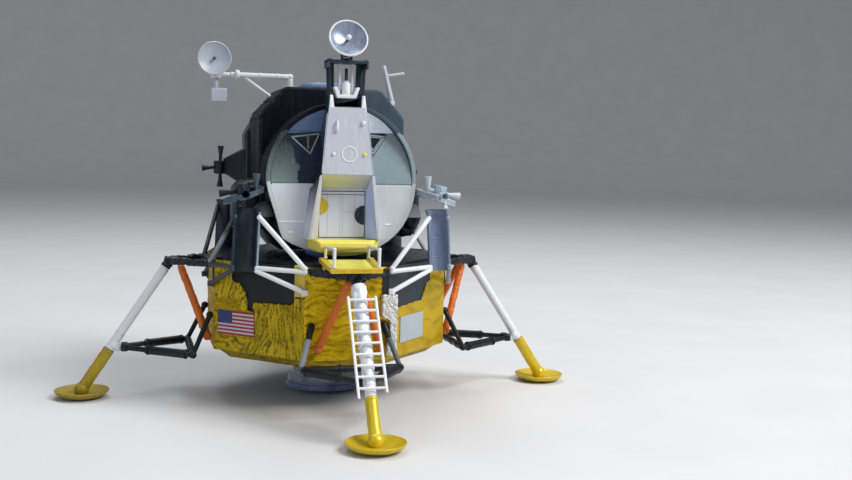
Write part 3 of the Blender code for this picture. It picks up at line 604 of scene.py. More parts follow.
# grey for the left side dome, darker than the white right one: painted shade
DOME_LEFT = painted("dome_grey", lin(106, 120, 126), lin(84, 98, 104), lin(150, 160, 166), 0.4, 0.0, 0.05, 0.2, 0.4, patch=0.3)
NOZZLE_PALE = painted("nozzle_pale", lin(188, 200, 206), lin(150, 164, 176), lin(216, 224, 228), 0.36, 0.0, 0.08, 0.2, 0.4, patch=0.4)
GOLD_SHADE = painted("gold_paint_left", lin(160, 140, 28), lin(116, 100, 20), lin(200, 182, 84), 0.4, 0.15, 0.05, 0.3, 0.4, 0.4, (2, 3.0, 9.0, lin(172, 150, 26), lin(128, 108, 18)))
# blue slate for the docking ring: its blue stands in for bluish highlights, a painted reflection
RING_BLUE = painted("ring_blue", lin(86, 108, 150), lin(52, 70, 106), lin(140, 158, 190), 0.36, 0.0, 0.05, 0.3, 0.4)
ROD_GREY = painted("rod_grey", lin(168, 174, 190), lin(140, 146, 164), lin(204, 208, 218), 0.4, 0.0, 0.05, 0.2, 0.4, patch=0.3)
# near-black slate for the left clusters: painted shade
NIGHT = painted("night_slate", lin(14, 24, 34), lin(8, 14, 21), lin(56, 70, 86), 0.38, 0.0, 0.0, 0.3, 0.3)
# lavender for the right cheek's inner face: painted reflection of something bluish
LAVENDER = painted("lavender_grey", lin(188, 206, 252), lin(160, 178, 236), lin(216, 224, 248), 0.4, 0.0, 0.05, 0.2, patch=0.3)
CREAM = painted("cream_grey", lin(202, 202, 200), lin(176, 176, 172), lin(226, 228, 224), 0.4, 0.0, 0.05, 0.2, patch=0.3)
# cheek sides, darker towards the top from z 64 to 78 mm: painted shade
CHEEK_SIDE = painted("cheek_side", lin(222, 228, 240), lin(196, 202, 220), lin(234, 238, 244), 0.4, 0.0, 0.05, 0.2, 0.4, 0.3, (2, 64.0, 78.0, lin(30, 44, 58), lin(20, 30, 42)))
WHITE = painted("white_paint", lin(226, 230, 234), lin(190, 196, 206), lin(244, 246, 248), 0.38, 0.0, 0.08, 0.25, patch=0.3)
BRIGHT = painted("bright_white", lin(255, 255, 255), lin(240, 242, 246), lin(255, 255, 255), 0.4, 0.0, 0.05, 0.1, patch=0.2)
ORANGE = painted("burnt_orange", lin(212, 104, 18), lin(150, 68, 12), lin(236, 150, 66), 0.45, 0.0, 0.0, 0.6)
# front green-grey: darker towards the windows on the left and lighter on the right, painted reflection
FACE_DARK = painted("front_green_grey", lin(120, 138, 142), lin(98, 114, 118), lin(136, 152, 152), 0.24, 0.0, 0.3, 0.15, 0.45, 0.3, (0, -2.0, 12.0, lin(138, 156, 162), lin(116, 134, 140)), (2, 79.5, 93.5, lin(42, 56, 64), lin(32, 44, 52)))
FACE_BLACK = painted("front_black", lin(25, 44, 62), lin(16, 30, 44), lin(50, 66, 84), 0.26, 0.0, 0.2, 0.25, 0.4)
# brow blue on the left and pale on the right: painted reflection
BROW = painted("front_brow", lin(92, 122, 166), lin(72, 100, 146), lin(140, 158, 180), 0.28, 0.0, 0.25, 0.2, 0.4, 0.3, (0, -3.0, 7.0, lin(222, 238, 246), lin(200, 217, 226)))
SILL_GOLD = painted("pale_gold", lin(224, 221, 160), lin(196, 193, 130), lin(238, 234, 186), 0.4, 0.1, 0.05, 0.3, 0.4, 0.35, (0, -4.0, 7.0, lin(196, 196, 190), lin(174, 173, 166)))
SILL_YELLOW = painted("sill_yellow", lin(242, 228, 96), lin(214, 196, 62), lin(250, 244, 170), 0.36, 0.05, 0.1, 0.3)
PORCH_YELLOW = painted("porch_pale_yellow", lin(228, 222, 104), lin(200, 190, 72), lin(244, 240, 160), 0.4, 0.05, 0.05, 0.35)
GOLD_LIP = painted("gold_lip", lin(210, 176, 22), lin(166, 132, 14), lin(240, 220, 96), 0.36, 0.2, 0.05, 0.3)
HATCH_GREY = painted("hatch_grey", lin(218, 225, 241), lin(194, 201, 221), lin(232, 236, 246), 0.4, 0.0, 0.06, 0.15, patch=0.2)
GOLD_SIDE = foil("gold_foil_side", lin(206, 172, 14), lin(126, 100, 8), metal=0.1, rough=0.5, coat=0.0, fine=0.3)
OUTLINE = painted("window_outline", lin(150, 168, 176), lin(120, 136, 146), lin(186, 200, 206), 0.4, 0.0, 0.05, 0.2)
SEAM = painted("panel_line", lin(176, 180, 190), lin(156, 160, 172), lin(204, 208, 216), 0.4, 0.0, 0.05, 0.2)
FLAG_RED = painted("stripe_red", lin(158, 34, 52), lin(120, 26, 42), lin(186, 84, 96), 0.5, 0.0, 0.0, 0.15, 0.3, patch=0.2)
FLAG_WHITE = painted("stripe_white", lin(190, 184, 194), lin(164, 158, 172), lin(208, 204, 212), 0.5, 0.0, 0.0, 0.15, 0.3, patch=0.2)
FLAG_BLUE = painted("canton_blue", lin(24, 44, 108), lin(18, 34, 88), lin(70, 90, 150), 0.5, 0.0, 0.0, 0.15, 0.3, patch=0.2)
STAR = painted("star_grey", lin(120, 130, 166), lin(96, 106, 144), lin(150, 158, 188), 0.5, 0.0, 0.0, 0.15, 0.3, patch=0.2)
PLATE_GREY = painted("plate_grey", lin(168, 178, 186), lin(146, 156, 166), lin(196, 204, 210), 0.42, 0.0, 0.05, 0.2, 0.4, patch=0.3)
DISH = painted("dish_silver", lin(146, 158, 180), lin(112, 124, 150), lin(206, 212, 220), 0.26, 0.3, 0.15, 0.15, 0.45, patch=0.5)
DISH_GREY = painted("dish_grey", lin(166, 174, 188), lin(142, 150, 166), lin(196, 202, 212), 0.36, 0.0, 0.1, 0.2, 0.4, patch=0.3)
BELL = painted("bell_blue_to_silver", lin(118, 132, 184), lin(40, 52, 84), lin(196, 204, 220), 0.32, 0.05, 0.1, 0.9, 0.45, 0.85, (2, 4.0, 7.0, lin(222, 224, 222), lin(84, 94, 104)))


# ---- camera, lights, floor ------------------------------------------------------------------
def make_camera():
    cam = bpy.data.cameras.new("camera")
    cam.lens, cam.sensor_width, cam.sensor_fit = 1055.217 / 852 * 36, 36, "HORIZONTAL"
    cam.clip_start, cam.clip_end = 0.01, 20
    ob = bpy.data.objects.new("camera", cam)
    bpy.context.scene.collection.objects.link(ob)
    fwd = Vector((0.2734, 0.9586, -0.0793)).normalized()
    right = fwd.cross(Vector((0, 0, 1))).normalized()
    up = right.cross(fwd)
    r = math.radians(1.324)
    right, up = right * math.cos(r) + up * math.sin(r), up * math.cos(r) - right * math.sin(r)
    ob.matrix_world = Matrix.Translation(Vector((-72.7, -392.9, 89.3)) * MM) @ Matrix((right, up, -fwd)).transposed().to_4x4()
    bpy.context.scene.camera = ob


def area(name, place, look, size, power, colour=(1, 1, 1)):
    lamp = bpy.data.lights.new(name, "AREA")
    lamp.shape, lamp.size, lamp.energy, lamp.color = "DISK", size, power, colour
    ob = bpy.data.objects.new(name, lamp)
    ob.location = place
    ob.rotation_euler = (Vector(look) - Vector(place)).to_track_quat("-Z", "Y").to_euler()
    bpy.context.scene.collection.objects.link(ob)


make_camera()
area("key", (0.62, -0.50, 0.80), (0, 0, 0.06), 0.6, 12.0, (1.0, 0.985, 0.955))
area("fill", (-0.85, -0.55, 0.35), (0, 0, 0.06), 0.9, 1.5, (0.90, 0.94, 1.0))
area("top", (-0.05, 0.35, 0.95), (0, 0, 0.06), 0.7, 4.2, (0.95, 0.97, 1.0))
world = bpy.data.worlds.new("studio")
world.use_nodes = True
world.node_tree.nodes["Background"].inputs[0].default_value = (0.80, 0.83, 0.88, 1)
world.node_tree.nodes["Background"].inputs[1].default_value = 0.38
bpy.context.scene.world = world
bpy.context.scene.view_settings.view_transform = "Standard"

g = Graph("studio_floor")
FLOOR = g.done(g.mix(g.curve(g.noise(0.02, 3, 0.5), 0.3, 0.7), (0.62, 0.62, 0.63, 1), (0.66, 0.66, 0.67, 1)), 0.75, 0.0, g.bump(g.noise(0.8, 3, 0.6), 0.05, 0.3), 0.0, 0.3)
sweep = [(0, 0), (900, 0), (1900, 0), (2300, 0)] + [(2300 + 700 * math.sin(a), 700 - 700 * math.cos(a)) for a in (math.radians(d) for d in range(10, 91, 10))] + [(3000, 1600)]
bowl = lathe(sweep, (0, 0, 0), (0, 0, 1), 96)
bowl.f = [q[::-1] for q in bowl.f]
me = bpy.data.meshes.new("floor")
me.from_pydata((bowl.v * MM).tolist(), [], bowl.f)
me.materials.append(FLOOR)
me.shade_smooth()
floor = bpy.data.objects.new("floor", me)
bpy.context.scene.collection.objects.link(floor)


# ---- descent body ---------------------------------------------------------------------------
def octagon(arm, bay):
    return [(-bay, -arm), (bay, -arm), (arm, -bay), (arm, bay), (bay, arm), (-bay, arm), (-arm, bay), (-arm, -bay)]


def inside(poly, x, y):
    """Whether each point lies in an outline."""
    hit = np.zeros(len(x), bool)
    for (x0, y0), (x1, y1) in zip(poly, poly[1:] + poly[:1]):
        if y0 != y1:
            hit ^= ((y0 > y) != (y1 > y)) & (x < (x1 - x0) * (y - y0) / (y1 - y0) + x0)
    return hit


# outlines of the bare dark areas at the top of two front diagonals: (along the face, height)
DARK_LEFT = [(8.0, 60), (8.07, 44.4), (11.6, 43.2), (14.3, 40.3), (15.3, 34.4), (17.8, 33.8), (17.9, 37.3), (24.8, 37.7), (34.1, 37.8), (35.2, 39.6), (35.3, 60)]
DARK_RIGHT = [(-1, 60), (-1, 37.0), (5.6, 36.4), (22.6, 37.4), (26.1, 43.4), (28.4, 43.6), (28.5, 60)]
DARK_LEFT_REAR = [(39.3 - s, z) for s, z in DARK_LEFT]
DARK_RIGHT_REAR = [(39.3 - s, z) for s, z in DARK_RIGHT]
FLAG = (2.2, 18.15, 25.08, 33.5)       # along the left diagonal, height
PLATE = (6.9, 22.9, 23.6, 32.75)       # along the right diagonal, height


def gold_sheet(seed, lift, cross, along, turn, fine=0.3, dark=None, flat=None, torn=0.4):
    """Folds of a foil panel: cross and along are the fold's width and length, turn its slope in degrees or a function of place."""
    def height(s, t, p):
        z = t + BODY_Z[0]
        a = np.radians(turn(s, z) if callable(turn) else np.full(len(s), turn, float))
        q = np.stack([s, z, np.zeros(len(s))], 1)
        w = np.stack([noise(q / 6.5, seed + 1), noise(q / 6.5, seed + 2)], 1) * 2.4
        u, v = s + w[:, 0], z + w[:, 1]
        lengthwise, crosswise = u * np.cos(a) + v * np.sin(a), -u * np.sin(a) + v * np.cos(a)
        big = fold(np.stack([lengthwise / along, crosswise / cross, np.zeros(len(s))], 1), seed)
        mid = fold(np.stack([lengthwise / along * 1.9 + 7, crosswise / cross * 2.1, np.zeros(len(s))], 1), seed + 5)
        small = crumple(q, 1.4, seed + 9, 2) + 0.5
        h = np.clip(0.52 * big + 0.28 * mid + fine * (small - 0.5) + 0.12, 0, 1)
        out = lift * (h - 0.25)
        bare = np.zeros(len(s))
        if dark is not None:
            js, jz = s + noise(q / 1.1, seed + 12) * torn, z + noise(q / 0.8, seed + 13) * torn * 1.2
            bare = inside(dark, js, jz).astype(float)
            out = np.where(bare > 0.5, -0.35 + 0.05 * small, out + 0.12)
        if flat is not None:
            near = (s > flat[0] - 0.5) & (s < flat[1] + 0.5) & (z > flat[2] - 0.5) & (z < flat[3] + 0.5)
            out = np.where(near, np.minimum(out, 0.12), out)
        return out, {"crease": h, "bare": bare}
    return height


def left_turn(s, z):
    return np.clip(18 + (s - 16) * 1.5 + (z - 30) * 1.1, -8, 64) * (s > 12) + (s <= 12) * np.clip(70 - (38 - z) * 6, -5, 70)


OCT = octagon(ARM, BAY)
PANELS = (  # name, corner it starts at, step, material, folds
    ("descent_foil_front", 0, 0.24, GOLD_FRONT, gold_sheet(3, 0.42, 1.9, 11.0, 3, 0.26)),
    ("descent_foil_front_right", 1, 0.3, GOLD_FLAT, gold_sheet(23, 0.12, 6.0, 20.0, 4, 0.2, DARK_RIGHT, PLATE, 0.12)),
    ("descent_foil_right", 2, 0.45, GOLD_FRONT, gold_sheet(33, 0.38, 2.4, 12.0, -4, 0.26)),
    ("descent_foil_rear_right", 3, 0.4, GOLD, gold_sheet(43, 0.5, 2.2, 9.0, 24, 0.3, DARK_LEFT_REAR)),
    ("descent_foil_rear", 4, 0.45, GOLD_FRONT, gold_sheet(53, 0.4, 2.2, 12.0, 2, 0.26)),
    ("descent_foil_rear_left", 5, 0.4, GOLD_FLAT, gold_sheet(63, 0.2, 4.0, 14.0, -8, 0.25, DARK_RIGHT_REAR, None, 0.2)),
    ("descent_foil_left", 6, 0.45, GOLD_SIDE, gold_sheet(73, 0.4, 2.4, 12.0, 5, 0.28)),
    ("descent_foil_front_left", 7, 0.2, GOLD, gold_sheet(83, 0.75, 1.7, 8.0, left_turn, 0.34, DARK_LEFT, FLAG)),
)
for name, k, step, mat, folds in PANELS:
    (x0, y0), (x1, y1) = OCT[k], OCT[(k + 1) % 8]
    s = panel((x0, y0, BODY_Z[0]), (x1, y1, BODY_Z[0]), (x1, y1, BODY_Z[1]), (x0, y0, BODY_Z[1]), step, folds)
    if k == 0:
        s = join(s, Sh([(x, y, z) for z in BODY_Z for x, y in OCT], [tuple(range(8))[::-1], tuple(range(8, 16))]))
    piece(name, s, "descent_stage", mat, "descent_body", 50)


def on_face(k, s, z, out=0.0):
    """A point on side k of the body: s along it, z up, out from it."""
    (x0, y0), (x1, y1) = OCT[k], OCT[(k + 1) % 8]
    d = Vector((x1 - x0, y1 - y0, 0)).normalized()
    n = Vector((d.y, -d.x, 0))
    return Vector((x0, y0, 0)) + d * s + n * out + Vector((0, 0, z))


def decal(k, s0, s1, z0, z1, out, thick, m=0, skew=0.0):
    c = [on_face(k, s0, z0, out), on_face(k, s1, z0 + skew, out), on_face(k, s1, z1 + skew, out), on_face(k, s0, z1, out)]
    n = on_face(k, 0, 0, 1) - on_face(k, 0, 0, 0)
    v = [tuple(p) for p in c] + [tuple(p + n * thick) for p in c]
    return Sh(v, [(3, 2, 1, 0), (4, 5, 6, 7)] + [(i, (i + 1) % 4, 4 + (i + 1) % 4, 4 + i) for i in range(4)], m)


# the flag: thirteen stripes and a canton with rows of small stars
s0, s1, z0, z1 = FLAG
row, cant = (z1 - z0) / 13, (s1 - s0) * 0.4
stripes = [decal(7, s0 + (cant if k < 7 else 0), s1, z1 - (k + 1) * row, z1 - k * row, 0.34, 0.10, k % 2) for k in range(13)]
stars = []
for r in range(9):
    for c in range(6 - r % 2):
        cs, cz = s0 + cant * (c + 0.5 + 0.5 * (r % 2)) / 6, z1 - 7 * row * (r + 0.75) / 9.5
        pts = [on_face(7, cs + q * math.sin(a), cz + q * math.cos(a), 0.47) for a, q in ((i * math.pi / 5, 0.21 if i % 2 == 0 else 0.09) for i in range(10))]
        stars.append(Sh([tuple(p) for p in pts], [tuple(range(10))[::-1]], 3))
canton = decal(7, s0, s0 + cant, z1 - 7 * row, z1, 0.34, 0.11, 2)
piece("flag", join(canton, *stripes, *stars), "descent_stage", [FLAG_RED, FLAG_WHITE, FLAG_BLUE, STAR], (), 30)
s0, s1, z0, z1 = PLATE
plate = soft(decal(1, s0, s1, z0, z1, 0.12, 0.3, 0, 0.35), 0.08, 2, 22, 0.5)
piece("side_plate", plate, "descent_stage", PLATE_GREY, (), 30)

# corner posts that carry the deflectors' struts
posts, gold_post = [], None
for k in range(8):
    bay_side = k % 2 == 0
    (a, b) = (26.7, 29.5) if bay_side else (35.4, 39.1)
    if k == 7:
        # a thin black strip at the gold post's foot: painted shadow
        gold_post = join(soft(decal(7, 35.5, 39.6, 40.9, 49.8, -0.2, 0.85), 0.15), soft(decal(7, 35.7, 39.4, 40.2, 40.7, -0.2, 0.75, 1), 0.08),
                         soft(decal(7, 35.2, 39.3, 49.9, 51.5, -1.6, 2.2, 2), 0.2))
    elif bay_side:
        posts.append(soft(decal(k, a, b, 41.2, 50.4, -0.2, 0.8), 0.15))
        if k:
            posts.append(soft(decal(k, 0.2, 2.9, 41.2, 50.4, -0.2, 0.8), 0.15))
piece("corner_posts", join(*posts), "descent_stage", DARK_SLATE, (), 30)
piece("corner_post_gold", gold_post, "descent_stage", [GOLD_POST, BLACK, YELLOW], (), 30)

# base tray: eight sloped foil sheets and a ribbed floor
low, high = octagon(ARM - 6, BAY - 6 * 0.41), octagon(ARM - 2, BAY - 2 * 0.41)
sheets = []
for k in range(8):
    j = (k + 1) % 8
    sheets.append(panel((*low[k], 15.6), (*low[j], 15.6), (*high[j], 18.9), (*high[k], 18.9), 0.4, gold_sheet(103 + k, 0.35, 1.6, 5.0, 5, 0.35)))
sheets.append(Sh([(x, y, 15.6) for x, y in low], [tuple(range(8))[::-1]], 1))
sheets.append(Sh([(x, y, 18.9) for x, y in high], [tuple(range(8))], 1))
for k in range(8):
    a = math.pi / 4 * k + math.pi / 8
    sheets.append(soft(hull([(math.cos(a) * r - math.sin(a) * w, math.sin(a) * r + math.cos(a) * w, z) for r in (15.5, 33.5) for w in (-0.5, 0.5) for z in (15.65, 14.9)], 1), 0.12))
piece("base_tray_foil", join(*sheets), "descent_stage", [GOLD, BLACK], "base_tray", 45)


def fan_sheet(outline, z, count, height):
    """A fine sheet that fills a round or many-sided outline."""
    o = np.array(outline, float)
    n = len(o)
    ks = np.linspace(1, 0.0, count + 1)[:-1]
    p = np.concatenate([np.c_[o * k, np.full(n, z)] for k in ks] + [np.array([[0, 0, z]])])
    lift, values = height(p)
    p[:, 2] += lift * np.clip(1 - np.linalg.norm(p[:, :2], axis=1) / 60, 0.3, 1)
    f = [(a * n + i, a * n + (i + 1) % n, (a + 1) * n + (i + 1) % n, (a + 1) * n + i) for a in range(count - 1) for i in range(n)]
    f += [((count - 1) * n + i, (count - 1) * n + (i + 1) % n, count * n) for i in range(n)]
    return Sh(p, f, 0, **values)


def dense(outline, step):
    out = []
    for a, b in zip(outline, outline[1:] + outline[:1]):
        a, b = np.array(a, float), np.array(b, float)
        n = max(1, int(np.linalg.norm(b - a) / step))
        out += [tuple(a + (b - a) * i / n) for i in range(n)]
    return out


def deck_height(p):
    h = crumple(p, 4.2, 131, 3) + 0.5
    return (h - 0.8) * 0.5, {"crease": h * 0.8}


edge = dense(octagon(ARM - 0.6, BAY - 0.2), 0.9)
top = fan_sheet(edge, DECK_TOP, 50, deck_height)
n = len(edge)
wall = rings([[(x, y, BODY_Z[1] + 0.1) for x, y in edge], [(x, y, BODY_Z[1] + 0.5) for x, y in edge], [(x, y, DECK_TOP - 0.12) for x, y in edge]], 0, False)
wall.set(crease=crumple(wall.v, 3.0, 7, 2) + 0.5)
under = Sh([(x, y, BODY_Z[1] + 0.1) for x, y in edge], [tuple(range(n))[::-1]])
piece("deck_foil", join(top, wall, under), "descent_stage", BLACK_FOIL, "upper_deck", 45)

# engine bell with hoops
bell = [(14.4, 2.0), (14.55, 2.1), (14.5, 2.5), (14.25, 2.7), (13.85, 3.9), (13.3, 5.4), (12.4, 7.3), (11.3, 9.0), (10.0, 10.6), (8.5, 12.1), (7.1, 13.5), (5.7, 15.4)]
inner = [(0, 13.3), (3.5, 13.2), (5.2, 12.9), (7.3, 11.7), (9.0, 10.2), (10.3, 8.7), (11.5, 7.0), (12.4, 5.2), (13.1, 3.7), (13.6, 2.3), (13.8, 2.0)]
bell_s = [lathe(inner + rounded(bell, 0.5, 3, False) + [(0, 15.5)], (0, 0, 0), (0, 0, 1), 128)]
for r, z in ((13.95, 3.6), (12.9, 6.3), (11.3, 9.0), (9.3, 11.3)):
    bell_s.append(loop([(math.cos(a) * r, math.sin(a) * r, z) for a in np.arange(72) * math.pi / 36], 0.28, 8))
bell_s = join(*bell_s)
push = crumple(bell_s.v, 3.4, 137, 3) * 0.7 * np.clip((bell_s.v[:, 2] - 3.0) / 3.0, 0, 1) * np.clip((15.0 - bell_s.v[:, 2]) / 2.0, 0, 1)
across_bell = np.linalg.norm(bell_s.v[:, :2], axis=1)
outside = across_bell > 5.2
bell_s.v[:, :2] += np.where(outside, push / np.maximum(across_bell, 1), 0)[:, None] * bell_s.v[:, :2]
piece("engine_bell", bell_s, "descent_stage", BELL, "descent_engine_bell", 35)

pack = wrapped(from_node("equipment_pack"), 0.24, 0.7, 1.5, 141, 2)
piece("equipment_pack_foil", pack, "descent_stage", SILVER, "equipment_pack", 60)

# ---- landing gear -----------------------------------------------------------------------------
LEGS = (("front", 0, -1, 0.75), ("right", 1, 0, 0.69), ("rear", 0, 1, 0.69), ("left", -1, 0, 0.69))


def foiled_tube(a, b, r0, r1, depth, size, seed, n=48, step=0.3, m=0):
    """A bar wrapped in creased foil."""
    a, b = np.array(a, float), np.array(b, float)
    k = max(4, int(np.linalg.norm(b - a) / step))
    t = np.linspace(0, 1, k + 1)
    s = tube([a + (b - a) * x for x in t], r0 + (r1 - r0) * t, n, m)
    axis = (b - a) / np.linalg.norm(b - a)
    rel = s.v - a
    radial = rel - np.outer(rel @ axis, axis)
    length = np.linalg.norm(radial, axis=1)
    radial = radial / np.maximum(length, 1e-6)[:, None]
    q = np.c_[rel @ axis * 0.55, radial * length[:, None] * 1.1]
    q = np.c_[q[:, 0] + q[:, 1] * 0.3, q[:, 2], q[:, 3]]
    h = crumple(q, size, seed)
    ends = np.clip(np.minimum(rel @ axis, np.linalg.norm(b - a) - rel @ axis) / 0.8, 0, 1)
    s.v = s.v + radial * (h * depth * ends)[:, None]
    s.set(crease=np.clip(h + 0.5, 0, 1))
    return s


for index, (side, dx, dy, share) in enumerate(LEGS):
    def at(r, t, z, dx=dx, dy=dy):
        return Vector((dx * r - dy * t, dy * r + dx * t, z))

    top, pad = at(STRUT_TOP[0], 0, STRUT_TOP[1]), at(PAD_CENTRE[0], 0, PAD_CENTRE[1])
    run = (pad - top).normalized()
    split = top + (pad - top) * share
    front = side == "front"
    piece(f"outrigger_foil_{side}", wrapped(from_node(f"outrigger_{side}"), 0.3 if front else 0.42, 1.05, 2.6, 150 + index, 2), "descent_stage", BLACK_FOIL, f"outrigger_{side}", 60)

    if front:
        cover = foiled_tube(top + run * 2.9, top + run * 37.6, 2.35, 1.95, 0.75, 2.2, 160)
        lower = tube([top + run * 37.0, split - run * 0.1], 1.8, 40, 1, 0.25)
        lower = join(lower, soft(tube([at(74.7, 0, 17.9), at(76.4, 0, 17.9)], 1.25, 24, 1), 0.2))
        piece("front_strut_cover", join(cover, lower), "descent_stage", [WHITE_FOIL, WHITE], "primary_strut_front", 50)
    else:
        length = (split - top).length
        s = [tube([top + run * 2.4, split - run * 0.05], 1.62, 40, 0, 0.25, 10)]
        for x, r in ((3.4, 1.85), (4.6, 1.78), (length - 1.0, 1.8), (length - 7.5, 1.74)):
            s.append(tube([top + run * x, top + run * (x + 0.5)], r, 40, 0, 0.15))
        # the lug at the cylinder's foot where the lower frame's yoke meets it
        lug = at(77.4, 0, 17.9)
        s.append(tube([lug - run * 2.5, lug - run * 0.1], 1.95, 36, 0, 0.3))
        s.append(tube([at(74.75, 0, 17.9), at(77.2, 0, 17.9)], 1.3, 28, 0, 0.3))
        s.append(ball(at(75.3, 0, 17.9), 1.55, 24, 14))
        piece(f"strut_cylinder_{side}", join(*s), "descent_stage", WHITE, f"primary_strut_{side}", 35)

    saucer = rounded([(0.01, 0), (4.6, 0), (7.4, 0.7), (9.1, 1.8), (9.6, 2.8), (9.3, 3.0), (8.4, 2.5), (5.8, 1.7), (2.4, 1.5), (0.01, 1.5)], 0.55, 4, False)
    dish_s = lathe(saucer, at(PAD_CENTRE[0], 0, 0), (0, 0, 1), 96)
    dent = noise(dish_s.v / 3.1, 170 + index) * 0.10
    dish_s.v[:, 2] += np.where(dish_s.v[:, 2] > 0.3, dent, 0)
    lower = foiled_tube(split + run * 0.05, pad - run * 0.6, 2.0, 2.05, 0.22, 2.2, 175 + index, 40, 0.4)
    socket = ball(pad, 2.62, 28, 14)
    collar = tube([split + run * 0.1, split + run * 0.9], 2.15, 40, 0, 0.2)
    piece(f"footpad_gold_{side}", join(dish_s, lower, socket, collar), "descent_stage", GOLD_SHADE if side == "left" else GOLD_PAINT, f"footpad_{side}", 40)

    s = []
    for t in (-1, 1):
        a, b = at(53.2, t * 2.2, 46.4), at(44.6, -10.4 if front and t < 0 else t * 11.4, 23.2)
        s.append(foiled_tube(a, b, 1.3, 1.3, 0.34, 1.7, 180 + index * 2 + t, 28, 0.3))
        s.append(ball(b, 1.62, 20, 10))
    s.append(soft(hull([at(r, t, z) for r in (52.2, 54.4) for t in (-3.4, 3.4) for z in (45.4, 47.7)]), 0.4, 3))
    piece(f"brace_wrap_{side}", join(*s), "descent_stage", ORANGE, f"brace_{side}", 50)

    kr, kt, kz = 50.0, 17.0, 17.5
    yoke, s = 73.6, []
    for t in (-1, 1):
        k0, k1, k2 = at(43.9, t * 12.6, 31.0), at(kr, t * kt, kz), at(yoke, t * 1.6, 18.0)
        # the front leg's links are painted slate, the left one pale grey, where the other links are black: painted
        # highlight
        pale = front and t < 0
        s.append(tube([k0, k1], [0.95, 0.85], 20, 2 if pale else 1 if front else 0, 0.25, 6))
        if front:
            s.append(tube([k0, k0 + (k1 - k0) * 0.2, k0 + (k1 - k0) * 0.3], [1.2, 1.1, 0.98], 20, 0, 0.1, 3))
        s.append(ball(k0, 1.3, 18, 10))
        s.append(ball(k1, 1.35, 18, 10, 1 if pale else 0))
        mid = [k1 + (k2 - k1) * x for x in (0.0, 0.07, 0.10, 0.66, 0.69, 1.0)]
        s.append(tube(mid, [0.95, 0.95, 1.55, 1.5, 0.95, 0.9], 24, 0, 0.2))
        s.append(tube([k1 + (k2 - k1) * 0.09, k1 + (k2 - k1) * 0.12], 1.72, 24, 0, 0.12))
        s.append(tube([k1 + (k2 - k1) * 0.62, k1 + (k2 - k1) * 0.65], 1.70, 24, 0, 0.12))
    s.append(tube([at(kr, kt + 0.6, kz), at(kr, -kt - 0.6, kz)], 1.25, 24, 0, 0.3, 8))
    for x in (-11, -3.7, 3.7, 11):
        s.append(tube([at(kr, x - 0.35, kz), at(kr, x + 0.35, kz)], 1.42, 24, 0, 0.12))
    s.append(soft(hull([at(r, t, z) for r in (yoke - 1.6, yoke + 0.9) for t in (-3.0, 3.0) for z in (16.7, 19.3)]), 0.45, 3))
    piece(f"lower_frame_{side}", join(*s), "descent_stage", [BLACK, SLATE, LINK_GREY], f"side_frame_{side}", 35)


def strut_y(z):
    return -(STRUT_TOP[0] + (STRUT_TOP[1] - z) * (PAD_CENTRE[0] - STRUT_TOP[0]) / (STRUT_TOP[1] - PAD_CENTRE[1])) - 3.6


# ladder: two flat rails, nine rungs, with a little paint gathered where they meet
s = []
for x, lo in ((-4.5, 15.3), (4.5, 16.7)):
    s.append(soft(hull([(x + sx, strut_y(z) + sy, z) for z in (lo, 44.0) for sx in (-0.4, 0.4) for sy in (-0.6, 0.6)]), 0.14, 3))
for k in range(9):
    z = 43.0 + (17.9 - 43.0) * k / 8
    wave = noise(np.array([[k * 3.7, 0.2, 0.4]]), 5)[0] * 0.08
    s.append(tube([(-4.7, strut_y(z), z + wave), (0, strut_y(z) - 0.05, z), (4.7, strut_y(z), z - wave)], 0.43, 18, 0, 0.12, 4))
    for x in (-4.5, 4.5):
        s.append(ball((x * 0.985, strut_y(z), z), 0.54, 12, 8, 0, (1, 1.1, 1)))
piece("ladder_painted", join(*s), "descent_stage", WHITE, "ladder", 35)

# porch: a sloped tray with side strips and a front lip, on two short feet
PX, y0, y1 = -1.0, -61.6, -43.4
ptop = lambda y: 52.6 + 1.85 * (y - y0) / (y1 - y0)
half = lambda y: 8.6 + (y - y0) * 0.8 / (y1 - y0)


def porch_bar(x0, x1, ya, yb, lo, hi, m):
    """A bar of the tray: x0 and x1 give its sides at a depth, lo and hi its faces below the top."""
    return hull([(PX + f(y), y, ptop(y) - d) for y in (ya, yb) for f in (x0, x1) for d in (lo, hi)], m)


s = [soft(porch_bar(lambda y: -half(y) + 0.4, lambda y: half(y) - 0.4, y0 + 0.4, y1, 0.72, 1.6, 0), 0.12),
     soft(porch_bar(lambda y: -half(y), lambda y: half(y), y0, y0 + 0.95, 0.0, 1.65, 1), 0.2, 3)]
for t in (-1, 1):
    s.append(soft(porch_bar(lambda y: t * half(y), lambda y: t * (half(y) - 1.9), y0 + 0.5, y1, 0.0, 1.6, 1), 0.22, 3))
    s.append(soft(porch_bar(lambda y: t * (half(y) - 1.95), lambda y: t * (half(y) - 2.3), y0 + 0.9, y1, 0.25, 0.8, 0), 0.08, 2))
for k in range(1, 12):
    y = y0 + 1.0 + (y1 - y0 - 1.4) * k / 12
    s.append(soft(porch_bar(lambda y: -6.4, lambda y: 6.4, y - 0.13, y + 0.13, 0.56, 0.76, 0), 0.06))
for x, y in ((-9.0, -48.3), (7.0, -50.7)):
    s.append(soft(box((x - 0.8, x + 0.8), (y - 0.8, y + 0.8), (50.6, ptop(y) - 1.4), 1), 0.15))
piece("porch_floor", join(*s), "descent_stage", [PORCH_YELLOW, GOLD_LIP], "egress_porch", 30)
